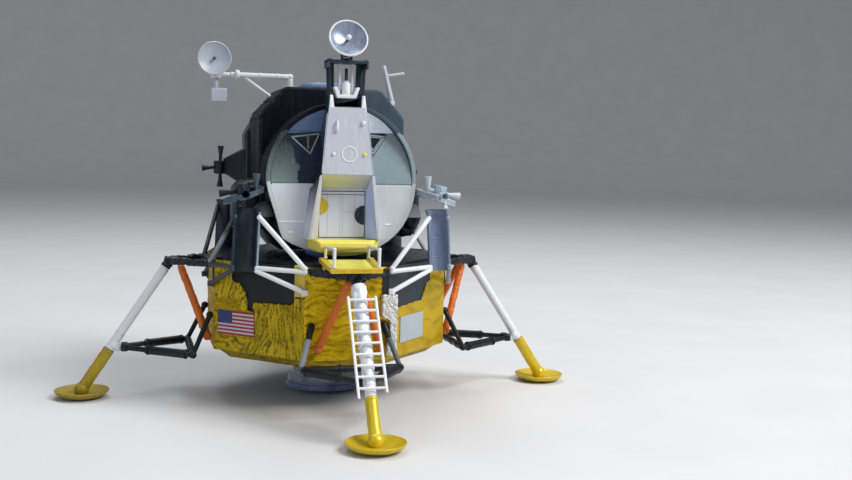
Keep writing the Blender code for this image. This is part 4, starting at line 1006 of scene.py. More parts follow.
for side, sx in (("left", -1), ("right", 1)):
    x, yf, yr, zt = PX + sx * 7.4, -60.9, -45.2, 58.8
    zf, zr = ptop(yf) + 0.12, ptop(yr) + 0.12
    s = [tube([(x, yf, zf), (x, yf, (zf + zt) / 2), (x, yf, zt - 0.5)], [0.5, 0.54, 0.6], 20, 0, 0.12, 3), ball((x, yf, zt - 0.1), 0.66, 18, 10),
         tube([(x, yr, zr), (x, yr, zt - 0.6)], 0.48, 18, 1, 0.12, 3), ball((x, yr, zt - 0.65), 0.54, 16, 8, 1),
         tube([(x, yf + 0.3, zt - 0.1), (x, (yf + yr) / 2, zt - 0.4), (x, yr, zt - 0.7)], 0.46, 18, 2, 0.1, 3),
         tube([(x, yf, zf), (x, yf, zf + 0.4)], 0.72, 18, 0, 0.12), tube([(x, yr, zr), (x, yr, zr + 0.35)], 0.7, 18, 1, 0.12)]
    piece(f"porch_rail_{side}_painted", join(*s), "descent_stage", [WHITE, SILL_GOLD, LIGHT], f"porch_rail_{side}", 35)

# plume deflectors
# deflector struts, per corner: near bars, far upper bars, far lower bars, near rim, far rim. Only the front near bars
# are white; the rest are painted greyer and darker, darkest on the left: painted shade.
STRUTS = {"front_left": [WHITE, STRUT_SHADE, STRUT_DARK, STRUT_GREY, DARK_SLATE], "front_right": [WHITE, STRUT_GREY, STRUT_GREY, BLUE_GREY, BLUE_GREY],
          "rear_left": [PALE, STRUT_DARK, STRUT_DARK, SLATE, DARK_SLATE], "rear_right": [PALE, STRUT_GREY, STRUT_GREY, SLATE, SLATE]}
# the front-right deflector is blue-grey where the others are dark slate: painted light
CORNERS = (("front_left", -1, -1, DARK_SLATE), ("front_right", 1, -1, BLUE_GREY), ("rear_left", -1, 1, DARK_SLATE), ("rear_right", 1, 1, DARK_SLATE))
for corner, sx, sy, mat in CORNERS:
    turn = math.atan2(0.94 * sy, 0.35 * sx)
    arc = [turn + math.radians(a) for a in np.linspace(88, 272, 41)]
    low, high = 48.6, 70.4

    def wall(z, out, sx=sx, sy=sy, arc=arc):
        lean = 1.0 - (z - 48.6) / 21.8
        cx, cy = sx * (33.6 + lean), sy * (35.5 + lean)
        pts = [(cx + math.cos(a) * (4.3 + out), cy + math.sin(a) * (4.3 + out), z) for a in arc]
        e0, e1 = arc[-1], arc[0]
        pts += [(cx + math.cos(e0 + 0.06) * 3.95, cy + math.sin(e0 + 0.06) * 3.95, z)]
        pts += [(cx + math.cos(a) * (3.6 - out), cy + math.sin(a) * (3.6 - out), z) for a in arc[::-1]]
        pts += [(cx + math.cos(e1 - 0.06) * 3.95, cy + math.sin(e1 - 0.06) * 3.95, z)]
        return pts

    levels = [wall(z, o) for z, o in ((low, -0.25), (low + 0.12, -0.08), (low + 0.35, 0), (55, 0), (62, 0), (68.2, 0), (69.0, 0.12), (69.7, 0.5), (70.15, 0.52), (high, 0.15))]
    skin = rings(levels)
    ribs = [rings([wall(z - 0.3, 0.0), wall(z - 0.15, 0.14), wall(z + 0.15, 0.14), wall(z + 0.3, 0.0)]) for z in (53.5, 60.0)]
    piece(f"deflector_{corner}", join(skin, *ribs), "descent_stage", mat, f"plume_deflector_{corner}", 50)
    near, far, bars = Vector((sx * 29.5, sy * 37.0, 0)), Vector((sx * 37.4, sy * 33.9, 0)), []
    for edge, foot, upper, lower, rim in ((near, Vector((sx * 15.0, sy * 43.9, 0)), 0, 0, 3), (far, Vector((sx * 43.9, sy * 15.0, 0)), 1, 2, 4)):
        for za, zb in ((67.5, 50.6), (50.4, 49.6), (49.4, 42.6)):
            m = upper if za > 60 else lower
            lean = Vector((sx * 0.9, sy * 0.9, 0)) * (1 - (za - low) / (high - low))
            a, b = edge + lean + Vector((0, 0, za)), foot + Vector((0, 0, zb))
            bars.append(tube([a, b], 0.84, 20, m, 0.3, 5))
            bars.append(ball(b, 0.98, 16, 8, m))
            bars.append(ball(a, 0.9, 16, 8, m))
        lean = Vector((sx * 0.95, sy * 0.95, 0))
        bars.append(tube([edge + lean + Vector((0, 0, low + 0.3)), edge + Vector((0, 0, high - 1.2))], 0.42, 14, rim, 0.15, 5))
        bars.append(soft(hull([foot + Vector((dx, dy, dz)) for dx in (-1.1, 1.1) for dy in (-0.9, 0.9) for dz in (41.6, 43.6)], lower), 0.3, 3))
    piece(f"deflector_struts_{corner}", join(*bars), "descent_stage", STRUTS[corner], (), 35)


# ---- ascent stage: cabin, mid section, aft bay ----------------------------------------------
ASC = "ascent_stage"


def facet(z):
    """Depth of the front plate at a height."""
    return FACE_Y + max(0.0, (z - SPLIT_Z) * LEAN) if z <= WINDOW_Z else FACE_Y + 3.5 - (z - WINDOW_Z) * 3.5 / 7.6 if z < 104.6 else FACE_Y


# the cabin's lower left quarter has a straight side and a squarer corner
LOWER_LEFT = ((180, 0.0), (190, -0.45), (198, -0.7), (206, -0.4), (213.6, 0.4), (220, 1.7), (225, 2.6), (229, 2.35), (236, 1.5), (245, 0.7), (256, 0.2), (270, 0.0))


def swell(a):
    """How far the cabin's outline stands out from its circle at an angle."""
    deg = math.degrees(a)
    if deg <= 180:
        return 0.0
    for (d0, s0), (d1, s1) in zip(LOWER_LEFT, LOWER_LEFT[1:]):
        if deg <= d1:
            return s0 + (s1 - s0) * (deg - d0) / (d1 - d0)
    return 0.9 * math.sin(2 * a) ** 2


def cabin_outline(r, n=144):
    """The CAD's 48 corners with points between them, so that both outlines agree."""
    corners = [((r + swell(a)) * math.cos(a), (r + swell(a)) * math.sin(a)) for a in (2 * math.pi * i / 48 for i in range(48))]
    out = []
    for (x0, z0), (x1, z1), i in zip(corners, corners[1:] + corners[:1], range(48)):
        for k in range(n // 48):
            f = k * 48 / n
            x, z = x0 + (x1 - x0) * f, z0 + (z1 - z0) * f
            a = 2 * math.pi * (i + f) / 48
            q = (math.hypot(x, z) + r + swell(a)) / 2 if swell(a) < 1.2 else math.hypot(x, z)
            out.append((q * math.cos(a), CABIN_Z + q * math.sin(a)))
    return out


def cabin_ring(r, y):
    return [(x, y, z) for x, z in cabin_outline(r)]


# drum with a rounded front lip, two hoops and lengthwise seams
back = -11.1
s = [rings([cabin_ring(25.15, back), cabin_ring(25.15, FACE_Y + 0.3), cabin_ring(25.3, FACE_Y + 0.05), cabin_ring(25.6, FACE_Y), cabin_ring(26.3, FACE_Y), cabin_ring(26.6, FACE_Y + 0.12), cabin_ring(26.7, FACE_Y + 0.4), cabin_ring(26.7, back), cabin_ring(25.15, back)], 0, False)]
for y in (-26.4, -19.0, -12.4):
    s.append(rings([cabin_ring(26.6, y - 0.45), cabin_ring(26.84, y - 0.3), cabin_ring(26.84, y + 0.3), cabin_ring(26.6, y + 0.45)], 0, False))
for deg in (15, 48, 70, 110, 132, 165, 200, 228, 312, 340):
    a = math.radians(deg)
    q = 26.75 + swell(a)
    c, sn = math.cos(a), math.sin(a)
    s.append(soft(hull([(q * c * k - sn * w, y, CABIN_Z + q * sn * k + c * w) for k in (0.997, 1.006) for w in (-0.35, 0.35) for y in (-28.9, -12.0)]), 0.08))
drum = join(*s)


def zoned(s, black):
    """Paints the rim of the drum like the front plate inside it, pale then green-grey, and black above the windows."""
    out = []
    for q, m in zip(s.f, s.m):
        p = s.v[list(q)]
        z = p[:, 2].mean()
        out.append(m if p[:, 1].max() > FACE_Y + 0.45 else 1 if z < SPLIT_Z else 2 if z < WINDOW_Z else 0)
    return out


drum.m = zoned(drum, 0)
piece("cabin_drum", drum, ASC, [BLACK_HULL, FACE_LIGHT, FACE_DARK], "cabin_shell", 35)
# side domes: the left one is painted darker grey than the white right one, painted shade; below the band both are black
for side, sx in (("left", -1), ("right", 1)):
    dome = ball((sx * 26.5, -23.6, 67.4), 3.8, 40, 30, 0, (1, 1, 1.3))
    dome.m = [1 if dome.v[list(q)][:, 2].mean() < 66.9 else 0 for q in dome.f]
    band = [(sx * 26.5 + math.cos(a) * 3.84, -23.6 + math.sin(a) * 3.84, 66.9) for a in np.arange(48) * math.pi / 24]
    piece(f"side_dome_{side}", join(dome, loop(band, 0.2, 8, 1)), ASC, [DOME_LEFT if side == "left" else WHITE, BLACK], (), 40)

# front plate: pale below the split line, painted lighter on the left (painted light); dark green-grey above it with
# painted reflection, darker near the left window and lighter on the right; a brow on top, blue on the left and pale on
# the right (painted reflection)
s = from_node("cabin_front")
kinds = []
for q in s.f:
    p = s.v[list(q)]
    n = np.cross(p[1] - p[0], p[2] - p[0])
    for i in range(1, len(p) - 1):
        n = n + np.cross(p[i] - p[0], p[i + 1] - p[0])
    n = n / max(np.linalg.norm(n), 1e-9)
    z = p[:, 2].mean()
    kinds.append((4 if z < SPLIT_Z and abs(p[:, 0]).max() < 9.5 else 3) if n[1] > -0.8 else 0 if p[:, 2].max() < SPLIT_Z + 0.2 else 1 if p[:, 2].max() < WINDOW_Z + 0.2 else 2)
s.m = kinds
piece("front_plate", s, ASC, [FACE_LIGHT, FACE_DARK, BROW, BLACK, PALE], "cabin_front", 20)


def face_poly(points, off, m=0, thick=0.06):
    """A flat patch on the front plate from (x, z) points, clockwise or not."""
    area2 = sum(a[0] * b[1] - b[0] * a[1] for a, b in zip(points, points[1:] + points[:1]))
    pts = points if area2 > 0 else points[::-1]
    k = len(pts)
    v = [(x, facet(z) - off, z) for x, z in pts] + [(x, facet(z) - off - thick, z) for x, z in pts]
    return Sh(v, [tuple(range(k))[::-1], tuple(range(k, 2 * k))] + [(i, (i + 1) % k, k + (i + 1) % k, k + i) for i in range(k)], m)


def strip(points, width, off, m=0, closed=False, thick=0.12):
    """Flat raised line on the front plate along (x, z) points."""
    out, n = [], len(points)
    for i in range(n if closed else n - 1):
        a, b = np.array(points[i], float), np.array(points[(i + 1) % n], float)
        d = (b - a) / np.linalg.norm(b - a)
        w = np.array([-d[1], d[0]]) * width / 2
        e = d * width * (0.5 if closed else 0.0)
        out.append(face_poly([tuple(a - e - w), tuple(b + e - w), tuple(b + e + w), tuple(a - e + w)], off, m, thick))
    return join(*out)


# black patches on the front plate: one round the left window with a ragged edge, one between the beam and the right
# window
ragged = []
for z, x in ((79.05, -15.7), (81.0, -15.75), (83.0, -15.7), (84.2, -14.8), (85.4, -15.2), (86.4, -16.3), (89.3, -16.8), (91.4, -17.2), (93.6, -18.6), (96.9, -19.2)):
    ragged.append((x, z))
fine = []
for a, b in zip(ragged, ragged[1:]):
    for t in np.arange(0, 1, 0.2):
        x, z = a[0] + (b[0] - a[0]) * t, a[1] + (b[1] - a[1]) * t
        fine.append((x + noise(np.array([[x * 1.3, z * 1.7, 0.3]]), 3)[0] * 0.35, z))
fine.append(ragged[-1])
shade_l = face_poly([(-6.6, 79.05), (-6.6, 96.9)] + fine[::-1], 0.03)
shade_r = face_poly([(6.6, 79.05), (8.6, 79.05), (9.4, 84.0), (11.2, 88.7), (16.0, 95.4), (16.2, 96.9), (6.6, 96.9)], 0.03)
piece("front_black_patch", join(shade_l, shade_r), ASC, FACE_BLACK, (), 20)

# windows: dark panes with pale frames and a small sighting scale
PANES = (("left", 1, [(-17.4, 95.8), (-7.6, 96.4), (-10.9, 89.4)]), ("right", -1, [(15.7, 95.8), (7.6, 96.4), (11.1, 89.5)]))
for side, sx, tri in PANES:
    if side == "left":
        tri = [(-17.7, 94.9), (-7.8, 96.3), (-11.2, 89.1)]
    mid = (sum(p[0] for p in tri) / 3, sum(p[1] for p in tri) / 3)
    ring_in = [(mid[0] + (x - mid[0]) * 0.70, mid[1] + (z - mid[1]) * 0.70) for x, z in tri]
    ring_out = [(mid[0] + (x - mid[0]) * 0.97, mid[1] + (z - mid[1]) * 0.97) for x, z in tri]
    parts = [strip(ring_out, 0.5, 0.14, 0, True, 0.2)]
    if sx > 0:
        x0 = mid[0] + 0.35
        parts.append(strip([(x0, 90.8), (x0 - 0.05, 95.2)], 0.26, 0.14))
        for k, w in enumerate((0.5, 0.9, 0.6, 1.1, 0.6, 1.5)):
            parts.append(strip([(x0 - w / 2, 91.2 + k * 0.74), (x0 + w / 2, 91.2 + k * 0.74)], 0.16, 0.14))
    else:
        parts.append(strip(ring_in, 0.3, 0.14, 0, True, 0.16))
    piece(f"window_frame_{side}", join(*parts), ASC, OUTLINE, (), 20)
piece("brow_edge_left", face_poly([(-6.7, 96.95), (-19.6, 96.95), (-19.9, 96.1), (-14.0, 96.45)], 0.1), ASC, BROW, (), 20)
pane_glass = Graph("dark_glass")
GLASS = pane_glass.done(pane_glass.mix(pane_glass.curve(pane_glass.noise(0.3, 3), 0.4, 0.7), lin(10, 16, 22), lin(22, 32, 38)),
                        pane_glass.curve(pane_glass.noise(0.7, 4), 0.3, 0.7, 0.06, 0.16), 0.0, pane_glass.bump(pane_glass.noise(0.5, 2), 0.08, 0.2), 0.6, 0.5)
for side in ("left", "right"):
    node_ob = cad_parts[f"window_{side}"]
    node_ob.data.materials.clear()
    node_ob.data.materials.append(GLASS)

# thin white lines on the lower front
marks = [strip([(-22.2, 65.7), (-13.3, 65.75)], 0.5, 0.02, 0, False, 0.16), strip([(-18.9, 62.05), (-17.1, 62.1)], 0.5, 0.02, 0, False, 0.16), strip([(15.5, 64.8), (17.6, 64.85)], 0.5, 0.02, 0, False, 0.16)]
piece("front_lines", join(*marks), ASC, BRIGHT, (), 20)
seams = [strip([(-25.2, SPLIT_Z), (-9.7, SPLIT_Z)], 0.2, 0.0, 0, False, 0.07), strip([(9.7, SPLIT_Z), (25.4, SPLIT_Z)], 0.2, 0.0, 0, False, 0.07)]
piece("front_split_line", join(*seams), ASC, SLATE, (), 20)
# paint that fills the gap round the lower half of the front plate
bead = [(x, FACE_Y + 0.26, z) for x, z in cabin_outline(25.22) if z < SPLIT_Z - 0.4]
piece("front_rim_fill", tube(bead, 0.36, 12, 0, 0.1), ASC, FACE_LIGHT, (), 50)

# beam above the hatch
s = soft(from_node("front_beam"), 0.28, 3, 24, 0.35)
s.m = [1 if np.array([s.v[i][2] for i in q]).mean() < 82.0 and abs(np.array([s.v[i][0] for i in q]).mean()) < 8.4 and np.array([s.v[i][1] for i in q]).mean() < -30.6 else 0 for q in s.f]


def facing(s, q):
    """The way a face of a shape looks."""
    p, n = s.v[list(q)], np.zeros(3)
    for i in range(1, len(p) - 1):
        n = n + np.cross(p[i] - p[0], p[i + 1] - p[0])
    return n / max(np.linalg.norm(n), 1e-9)


# faces of the beam that look left are painted black, painted shade; its right side stays pale
s.m = [5 if facing(s, q)[0] < -0.6 else m for q, m in zip(s.f, s.m)]
y_at = lambda z: -39.2 + (z - 82.4) * 2.2 / 22.8
lean_n = Vector((0, -1, 2.2 / 22.8)).normalized()
extra = [loop([(0.5 + 2.55 * math.cos(a), y_at(89.3 + 2.55 * math.sin(a)) - 0.02, 89.3 + 2.55 * math.sin(a)) for a in np.arange(64) * math.pi / 32], 0.22, 10, 2)]
for x, m in ((-4.9, 2), (5.9, 3)):
    extra.append(lathe([(0.62, -0.1), (0.6, 0.35), (0.42, 0.62), (0, 0.72)], (x, y_at(89.3), 89.3), lean_n, 20, m))
extra.append(ball((5.4, y_at(100.0) - 0.25, 100.0), 0.85, 20, 12, 2))
extra.append(tube([(-3.7, y_at(97.0) + 0.2, 97.0), (-3.7, y_at(97.0) - 0.7, 97.15), (-3.7, y_at(97.4) - 0.95, 97.6), (-3.7, y_at(99.6) - 0.95, 99.7), (-3.7, y_at(100.2) - 0.7, 100.15), (-3.7, y_at(100.3) + 0.2, 100.3)], 0.34, 16, 2, 0.1))
for t in (-1, 1):
    ear = hull([(t * x, y, z) for x, y, z in ((4.75, -37.2, 104.9), (6.35, -37.2, 104.9), (5.35, -36.55, 109.3), (6.15, -36.55, 109.3), (4.75, -30.2, 104.9), (6.35, -30.2, 104.9), (5.35, -30.2, 109.3), (6.15, -30.2, 109.3))], 2)
    extra.append(soft(ear, 0.45, 4))
    extra.append(soft(hull([(t * x, y, z) for x, z in ((8.85, 83.0), (9.05, 83.0), (6.95, 103.0), (7.15, 103.0)) for y in (y_at(z) - 0.14, y_at(z) + 0.3)], 0), 0.06))
extra.append(soft(box((-4.2, 4.2), (-36.6, -33.4), (104.9, 105.5), 4), 0.15))
piece("beam_panel", join(s, *extra), ASC, [PALE, SILL_GOLD, WHITE, YELLOW, DARK_SLATE, FACE_BLACK], "front_beam", 35)

# cheeks: the right one's inner face is lavender, a painted reflection; the outer sides darken towards the top, painted
# shade; the left one's front edge and inner face are cream
for side in ("left", "right"):
    s = soft(from_node(f"hatch_cheek_{side}"), 0.22, 3, 24, 0.3)
    sign = -1 if side == "left" else 1
    kinds = []
    for q in s.f:
        n = facing(s, q)
        kinds.append(1 if np.array([s.v[i][1] for i in q]).max() < -34.6 and n[1] < -0.3 else 2 if n[0] * sign < -0.3 else 0)
    s.m = kinds
    piece(f"cheek_{side}", s, ASC, [CHEEK_SIDE, CREAM if side == "left" else LIGHT, CREAM if side == "left" else LAVENDER], f"hatch_cheek_{side}", 35)
s = soft(from_node("hatch_sill"), 0.5, 3, 14, 0.4)
piece("sill_gold", s, ASC, SILL_YELLOW, "hatch_sill", 50)
# fittings under the cabin's front edge
s = [tube([(-12.3, -28.4, 55.5), (-8.6, -28.6, 54.2), (-5.0, -28.8, 53.5)], 1.22, 28, 0, 0.5, 4), tube([(5.5, -28.4, 54.3), (5.5, -31.6, 53.9)], 1.6, 28, 1, 0.5),
     tube([(-5.0, -29.0, 53.4), (9.5, -29.0, 53.6)], 0.8, 20, 1, 0.3)]
piece("under_sill_fittings", join(*s), ASC, [DEEP_BLUE, DARK_SLATE], (), 40)

# hatch: panel lines, two half discs and rows of rivets
half, low, high = 8.0, 60.3, 76.2
door = soft(from_node("forward_hatch"), 0.12, 2, 30, 0.25)
yf = FACE_Y + 0.1
door.m = [4 if np.array([door.v[i][1] for i in q]).mean() < FACE_Y + 0.02 else 0 for q in door.f]
s = [door]
for x in (-5.1, -0.7, 0.2, 4.4):
    s.append(soft(box((x - 0.07, x + 0.07), (yf - 0.04, yf + 0.1), (low + 0.5, high - 0.4), 1), 0.02))
s.append(soft(box((-half + 0.3, half - 0.3), (yf - 0.04, yf + 0.1), (75.1, 75.3), 1), 0.02))
s.append(soft(box((-0.6, 7.4), (yf - 0.04, yf + 0.1), (69.0, 69.15), 1), 0.02))


def half_disc(x, z, r, left, m):
    pts = [(r * math.cos(a), r * math.sin(a)) for a in np.linspace(-math.pi / 2, math.pi / 2, 25)]
    pts = [(x + (-px if left else px), z + pz) for px, pz in pts]
    if left:
        pts = pts[::-1]
    k = len(pts)
    v = [(px, yf - 0.02, pz) for px, pz in pts] + [(px, yf - 0.28, pz) for px, pz in pts]
    return soft(Sh(v, [tuple(range(k))[::-1], tuple(range(k, 2 * k))] + [(i, (i + 1) % k, k + (i + 1) % k, k + i) for i in range(k)], m), 0.06)


s.append(half_disc(-7.7, 71.1, 2.9, False, 3))
s.append(half_disc(7.88, 68.0, 3.4, True, 4))
for z in (61.7, 64.4, 72.6, 75.0):
    s.append(rivets([(x, yf - 0.02, z) for x in (-7.3, -3.0, 2.4, 7.3)], (0, -1, 0), 0.16, 0))
piece("hatch_door", join(*s), "forward_hatch", [HATCH_GREY, SEAM, WHITE, GOLD_PAINT, DARK_SLATE], "forward_hatch", 35)

# mid section with raised panels, rivet rows and a tunnel on top
s = [soft(from_node("mid_section"), 0.5, 3, 24, 0.6)]
for t in (-1, 1):
    x = t * 26.5
    for y0, y1, z0, z1 in ((-10.2, 3.6, 81.4, 91.4), (4.4, 19.2, 81.4, 91.4), (-10.2, 3.6, 92.2, 102.2), (4.4, 19.2, 92.2, 102.2)):
        c = [(x, y0, z0), (x, y1, z0), (x, y1, z1), (x, y0, z1)]
        s.append(slab(c if t > 0 else c[::-1], (t, 0, 0), 0.28))
        s.append(rivets([(x + t * 0.28, y, z) for y in np.linspace(y0 + 0.8, y1 - 0.8, 6) for z in (z0 + 0.7, z1 - 0.7)], (t, 0, 0)))
    n = Vector((t * 0.743, 0, 0.669))
    for y0, y1 in ((-10.2, -1.2), (-0.4, 9.2), (10.0, 19.2)):
        for a, b in ((0.06, 0.48), (0.52, 0.94)):
            e, f2 = Vector((t * 26.5, 0, 103)), Vector((t * 17.5, 0, 113))
            pa, pb = e + (f2 - e) * a, e + (f2 - e) * b
            c = [(pa.x, y0, pa.z), (pa.x, y1, pa.z), (pb.x, y1, pb.z), (pb.x, y0, pb.z)]
            s.append(slab(c if t > 0 else c[::-1], n, 0.26))
            s.append(rivets([Vector((p.x, y, p.z)) + n * 0.26 for y in np.linspace(y0 + 0.7, y1 - 0.7, 4) for p in (pa + (pb - pa) * 0.1, pb - (pb - pa) * 0.1)], n))
for x0, x1, y0, y1 in ((-16.8, -8.8, -10.2, -7.4), (-8.0, 8.0, -10.2, -7.4), (8.8, 16.8, -10.2, -7.4), (-16.8, -11.6, -6.6, 14.0), (11.6, 16.8, -6.6, 14.0), (-16.8, -0.4, 15.4, 19.2), (0.4, 16.8, 15.4, 19.2)):
    s.append(slab([(x0, y0, 113), (x1, y0, 113), (x1, y1, 113), (x0, y1, 113)], (0, 0, 1), 0.22))
piece("mid_skin", join(*s), ASC, BLACK_HULL, "mid_section", 35)

s = [soft(from_node("aft_equipment_bay"), 0.5, 3, 20, 0.6)]
for x0, x1, z0, z1 in ((-26.6, -14.6, 64.0, 79.0), (-13.8, -0.4, 64.0, 79.0), (0.4, 13.8, 64.0, 79.0), (14.6, 26.6, 64.0, 79.0), (-26.6, -9.4, 79.8, 95.6), (-8.6, 8.6, 79.8, 95.6), (9.4, 26.6, 79.8, 95.6), (-17.6, -0.4, 96.4, 106.6), (0.4, 17.6, 96.4, 106.6)):
    s.append(slab([(x1, 32, z0), (x0, 32, z0), (x0, 32, z1), (x1, 32, z1)], (0, 1, 0), 0.34, 0, 0.14))
    s.append(rivets([(x, 32.34, z) for x in np.linspace(x0 + 0.8, x1 - 0.8, 6) for z in (z0 + 0.8, z1 - 0.8)], (0, 1, 0)))
    s.append(rivets([(x, 32.34, z) for z in np.linspace(z0 + 2.4, z1 - 2.4, 4) for x in (x0 + 0.8, x1 - 0.8)], (0, 1, 0)))
for t in (-1, 1):
    for z0, z1 in ((64.0, 75.0), (91.6, 96.4)):
        c = [(t * 28.2, 20.9, z0), (t * 28.2, 31.2, z0), (t * 28.2, 31.2, z1), (t * 28.2, 20.9, z1)]
        s.append(slab(c if t > 0 else c[::-1], (t, 0, 0), 0.26))
for k in range(7):
    z = 81.6 + k * 2.0
    s.append(soft(box((-7.2, 7.2), (32.2, 32.75), (z, z + 0.7)), 0.15))
piece("aft_skin", join(*s), ASC, DARK_SLATE, "aft_equipment_bay", 35)

# docking ring with a seat, guide ribs and a hatch in the middle
prof = rounded([(0.01, 0.0), (10.6, 0), (10.5, 0.6), (9.8, 1.6), (8.6, 2.4), (6.2, 2.4), (5.2, 1.4), (0.01, 1.4)], 0.3, 3, False)
s = [lathe(prof, (0, 4.0, 113.1), (0, 0, 1), 96)]
for k in range(12):
    a = math.pi / 6 * k
    c, sn = math.cos(a), math.sin(a)
    s.append(soft(hull([(c * r - sn * w, 4 + sn * r + c * w, 113.1 + h) for r, h in ((5.4, 1.4), (6.3, 2.62), (8.4, 2.62), (9.9, 1.5)) for w in (-0.28, 0.28)]), 0.1))
s.append(loop([(math.cos(a) * 4.2, 4 + math.sin(a) * 4.2, 114.55) for a in np.arange(48) * math.pi / 24], 0.22, 8))
s.append(lathe([(0.01, 0), (2.6, 0), (2.4, 0.5), (0.01, 0.62)], (0, 4, 114.45), (0, 0, 1), 40))
s.append(tube([(-1.4, 4, 115.1), (1.4, 4, 115.1)], 0.28, 14, 0, 0.12))
piece("docking_ring_ribs", join(*s), ASC, RING_BLUE, "docking_ring", 35)

for side, t in (("left", -1), ("right", 1)):
    s = [soft(from_node(f"tank_fairing_{side}"), 1.3, 4, 12, 0.5)]
    x0 = t * 26.6
    for w in (1.6, 4.4):
        k = 1.0 - max(0, w - 5.6) * 0.1
        ring_p = [(x0 + t * w, 4 + (y - 4) * (1 - 0.08 * w / 5.6) , 69 + (z - 69) * (1 - 0.07 * w / 5.6)) for y, z in rounded([(-9, 58.5), (15, 58.5), (18, 62), (18, 76), (14, 79.5), (-8, 79.5), (-10.6, 76), (-10.6, 62)], 2.6, 5)]
        s.append(loop(ring_p, 0.26, 8))
    s.append(rivets([(x0 + t * 8.2, 4 + dy, 69 + dz) for dy in (-6, 0, 6) for dz in (-4.5, 4.5)], (t, 0, 0), 0.3))
    s.append(slab([(x0 + t * 8.2, 4 - 5.5, 65.8), (x0 + t * 8.2, 4 + 5.5, 65.8), (x0 + t * 8.2, 4 + 5.5, 72.2), (x0 + t * 8.2, 4 - 5.5, 72.2)][::t], (t, 0, 0), 0.22))
    piece(f"tank_cover_{side}", join(*s), ASC, BLACK, f"tank_fairing_{side}", 35)


# ---- thruster clusters ----------------------------------------------------------------------
def cone(a, b, r=1.28, m=1):
    """A hollow nozzle that opens from a to b."""
    a, b = Vector(a), Vector(b)
    n = (b - a).length
    d = (b - a) / n
    out = [(0.62, 0), (0.62, n * 0.35), (0.78, n * 0.5), (1.05, n * 0.76), (r, n)]
    inn = [(r - 0.12, n), (0.92, n * 0.78), (0.66, n * 0.55), (0.4, n * 0.45), (0.0001, n * 0.42)]
    bell = lathe([(0.0001, 0)] + out + inn[:-1] + [(0.0, n * 0.42)], a, d, 28, m)
    rim = loop([tuple(b + (Vector(across(d)[0]) * math.cos(w) + Vector(across(d)[1]) * math.sin(w)) * r) for w in np.arange(28) * math.pi / 14], 0.1, 6, m)
    throat = tube([a + d * n * 0.26, a + d * n * 0.34], 0.85, 24, m, 0.1)
    return join(bell, rim, throat)


for side, t in (("left", -1), ("right", 1)):
    qx, qy, qz = 34.2, -32.4, 76.2
    sz = lambda x: 77.4 - (x - 27.0) * 0.31
    plan = [(27.0, -28.6), (27.0, -14.0), (35.5, -21.5), (41.2, -31.4), (32.5, -37.6)]
    shelf = soft(hull([(t * x, y, sz(x) - k) for x, y in plan for k in (0, 1.9)]), 0.3, 3)
    rimline = [(t * x, y, sz(x) + 0.02) for x, y in rounded(plan, 0.6, 3)]
    s = [shelf, loop(rimline, 0.22, 8, 2)]
    s.append(soft(tube([(t * qx, qy, sz(qx) - 0.4), (t * (qx + 0.9), qy, qz + 2.6)], 2.6, 8, 3), 0.35, 3))
    s.append(tube([(t * 30.4, qy - 0.9, qz + 1.0), (t * qx, qy, qz + 0.6)], 0.95, 18, 3, 0.2))
    s.append(soft(box(sorted((t * 28.2, t * 29.6)), (-27.5, -18.0), (sz(29) - 0.2, sz(29) + 0.7)), 0.15))
    s.append(rivets([(t * x, y, sz(x)) for x, y in ((29.0, -30.4), (31.6, -22.0), (35.0, -23.6), (38.4, -29.2), (32.8, -35.6))], (0, 0, 1), 0.24))
    s.append(cone((t * 30.5, qy - 0.9, sz(30.5) - 0.2), (t * 30.1, qy - 0.9, 82.0), 1.3, 4))
    s.append(cone((t * (qx + 1.4), qy + 0.2, qz - 0.2), (t * 42.4, qy + 1.2, 75.2)))
    s.append(cone((t * qx, qy - 1.4, qz - 0.2), (t * (qx + 0.4), -40.2, 75.3)))
    s.append(cone((t * 36.2, -34.4, sz(36.2) - 1.4), (t * 36.2, -34.6, 70.9)))
    # the left cluster in slate blue with near-black nozzles, the right in pale blue with pale nozzles: painted shade on
    # the left, painted light on the right
    piece(f"front_cluster_{side}", join(*s), ASC, [ARM_LEFT, NIGHT, ARM_LEFT, NIGHT, ARM_LEFT] if side == "left" else [ARM_RIGHT, NOZZLE_PALE, LIGHT, ARM_RIGHT, NOZZLE_PALE], f"thruster_quad_front_{side}", 35)

    qx, qy, qz = 36.8, 33.0, 83.0
    x0 = 28.3
    boom = hull([(t * x0, y, z) for y, z in ((22.0, 76.0), (31.5, 76.0), (22.0, 90.6), (31.5, 90.6))] + [(t * (qx - 1.2), y, z) for y in (qy - 1.8, qy + 1.8) for z in (qz - 2.2, qz + 3.4)])
    s = [soft(boom, 0.4, 3), soft(tube([(t * qx, qy, qz - 2.6), (t * qx, qy, qz + 2.6)], 2.6, 8), 0.35, 3)]
    for z in (qz - 1.7, qz + 1.7):
        s.append(tube([(t * qx, qy, z - 0.25), (t * qx, qy, z + 0.25)], 2.62, 24, 0, 0.1))
    s.append(cone((t * qx, qy, qz + 2.2), (t * (qx - 0.2), qy, qz + 8.4)))
    s.append(cone((t * qx, qy, qz - 2.2), (t * (qx + 0.1), qy, qz - 7.6)))
    s.append(cone((t * (qx + 1.8), qy, qz), (t * (qx + 7.0), qy, qz - 0.4)))
    s.append(cone((t * qx, qy + 1.8, qz), (t * qx, qy + 7.0, qz - 0.4)))
    # the left rear cluster is painted darker than the right: painted shade
    piece(f"rear_cluster_{side}", join(*s), ASC, [NIGHT, DARK_SLATE] if side == "left" else [DARK_SLATE, SLATE], f"thruster_quad_rear_{side}", 35)

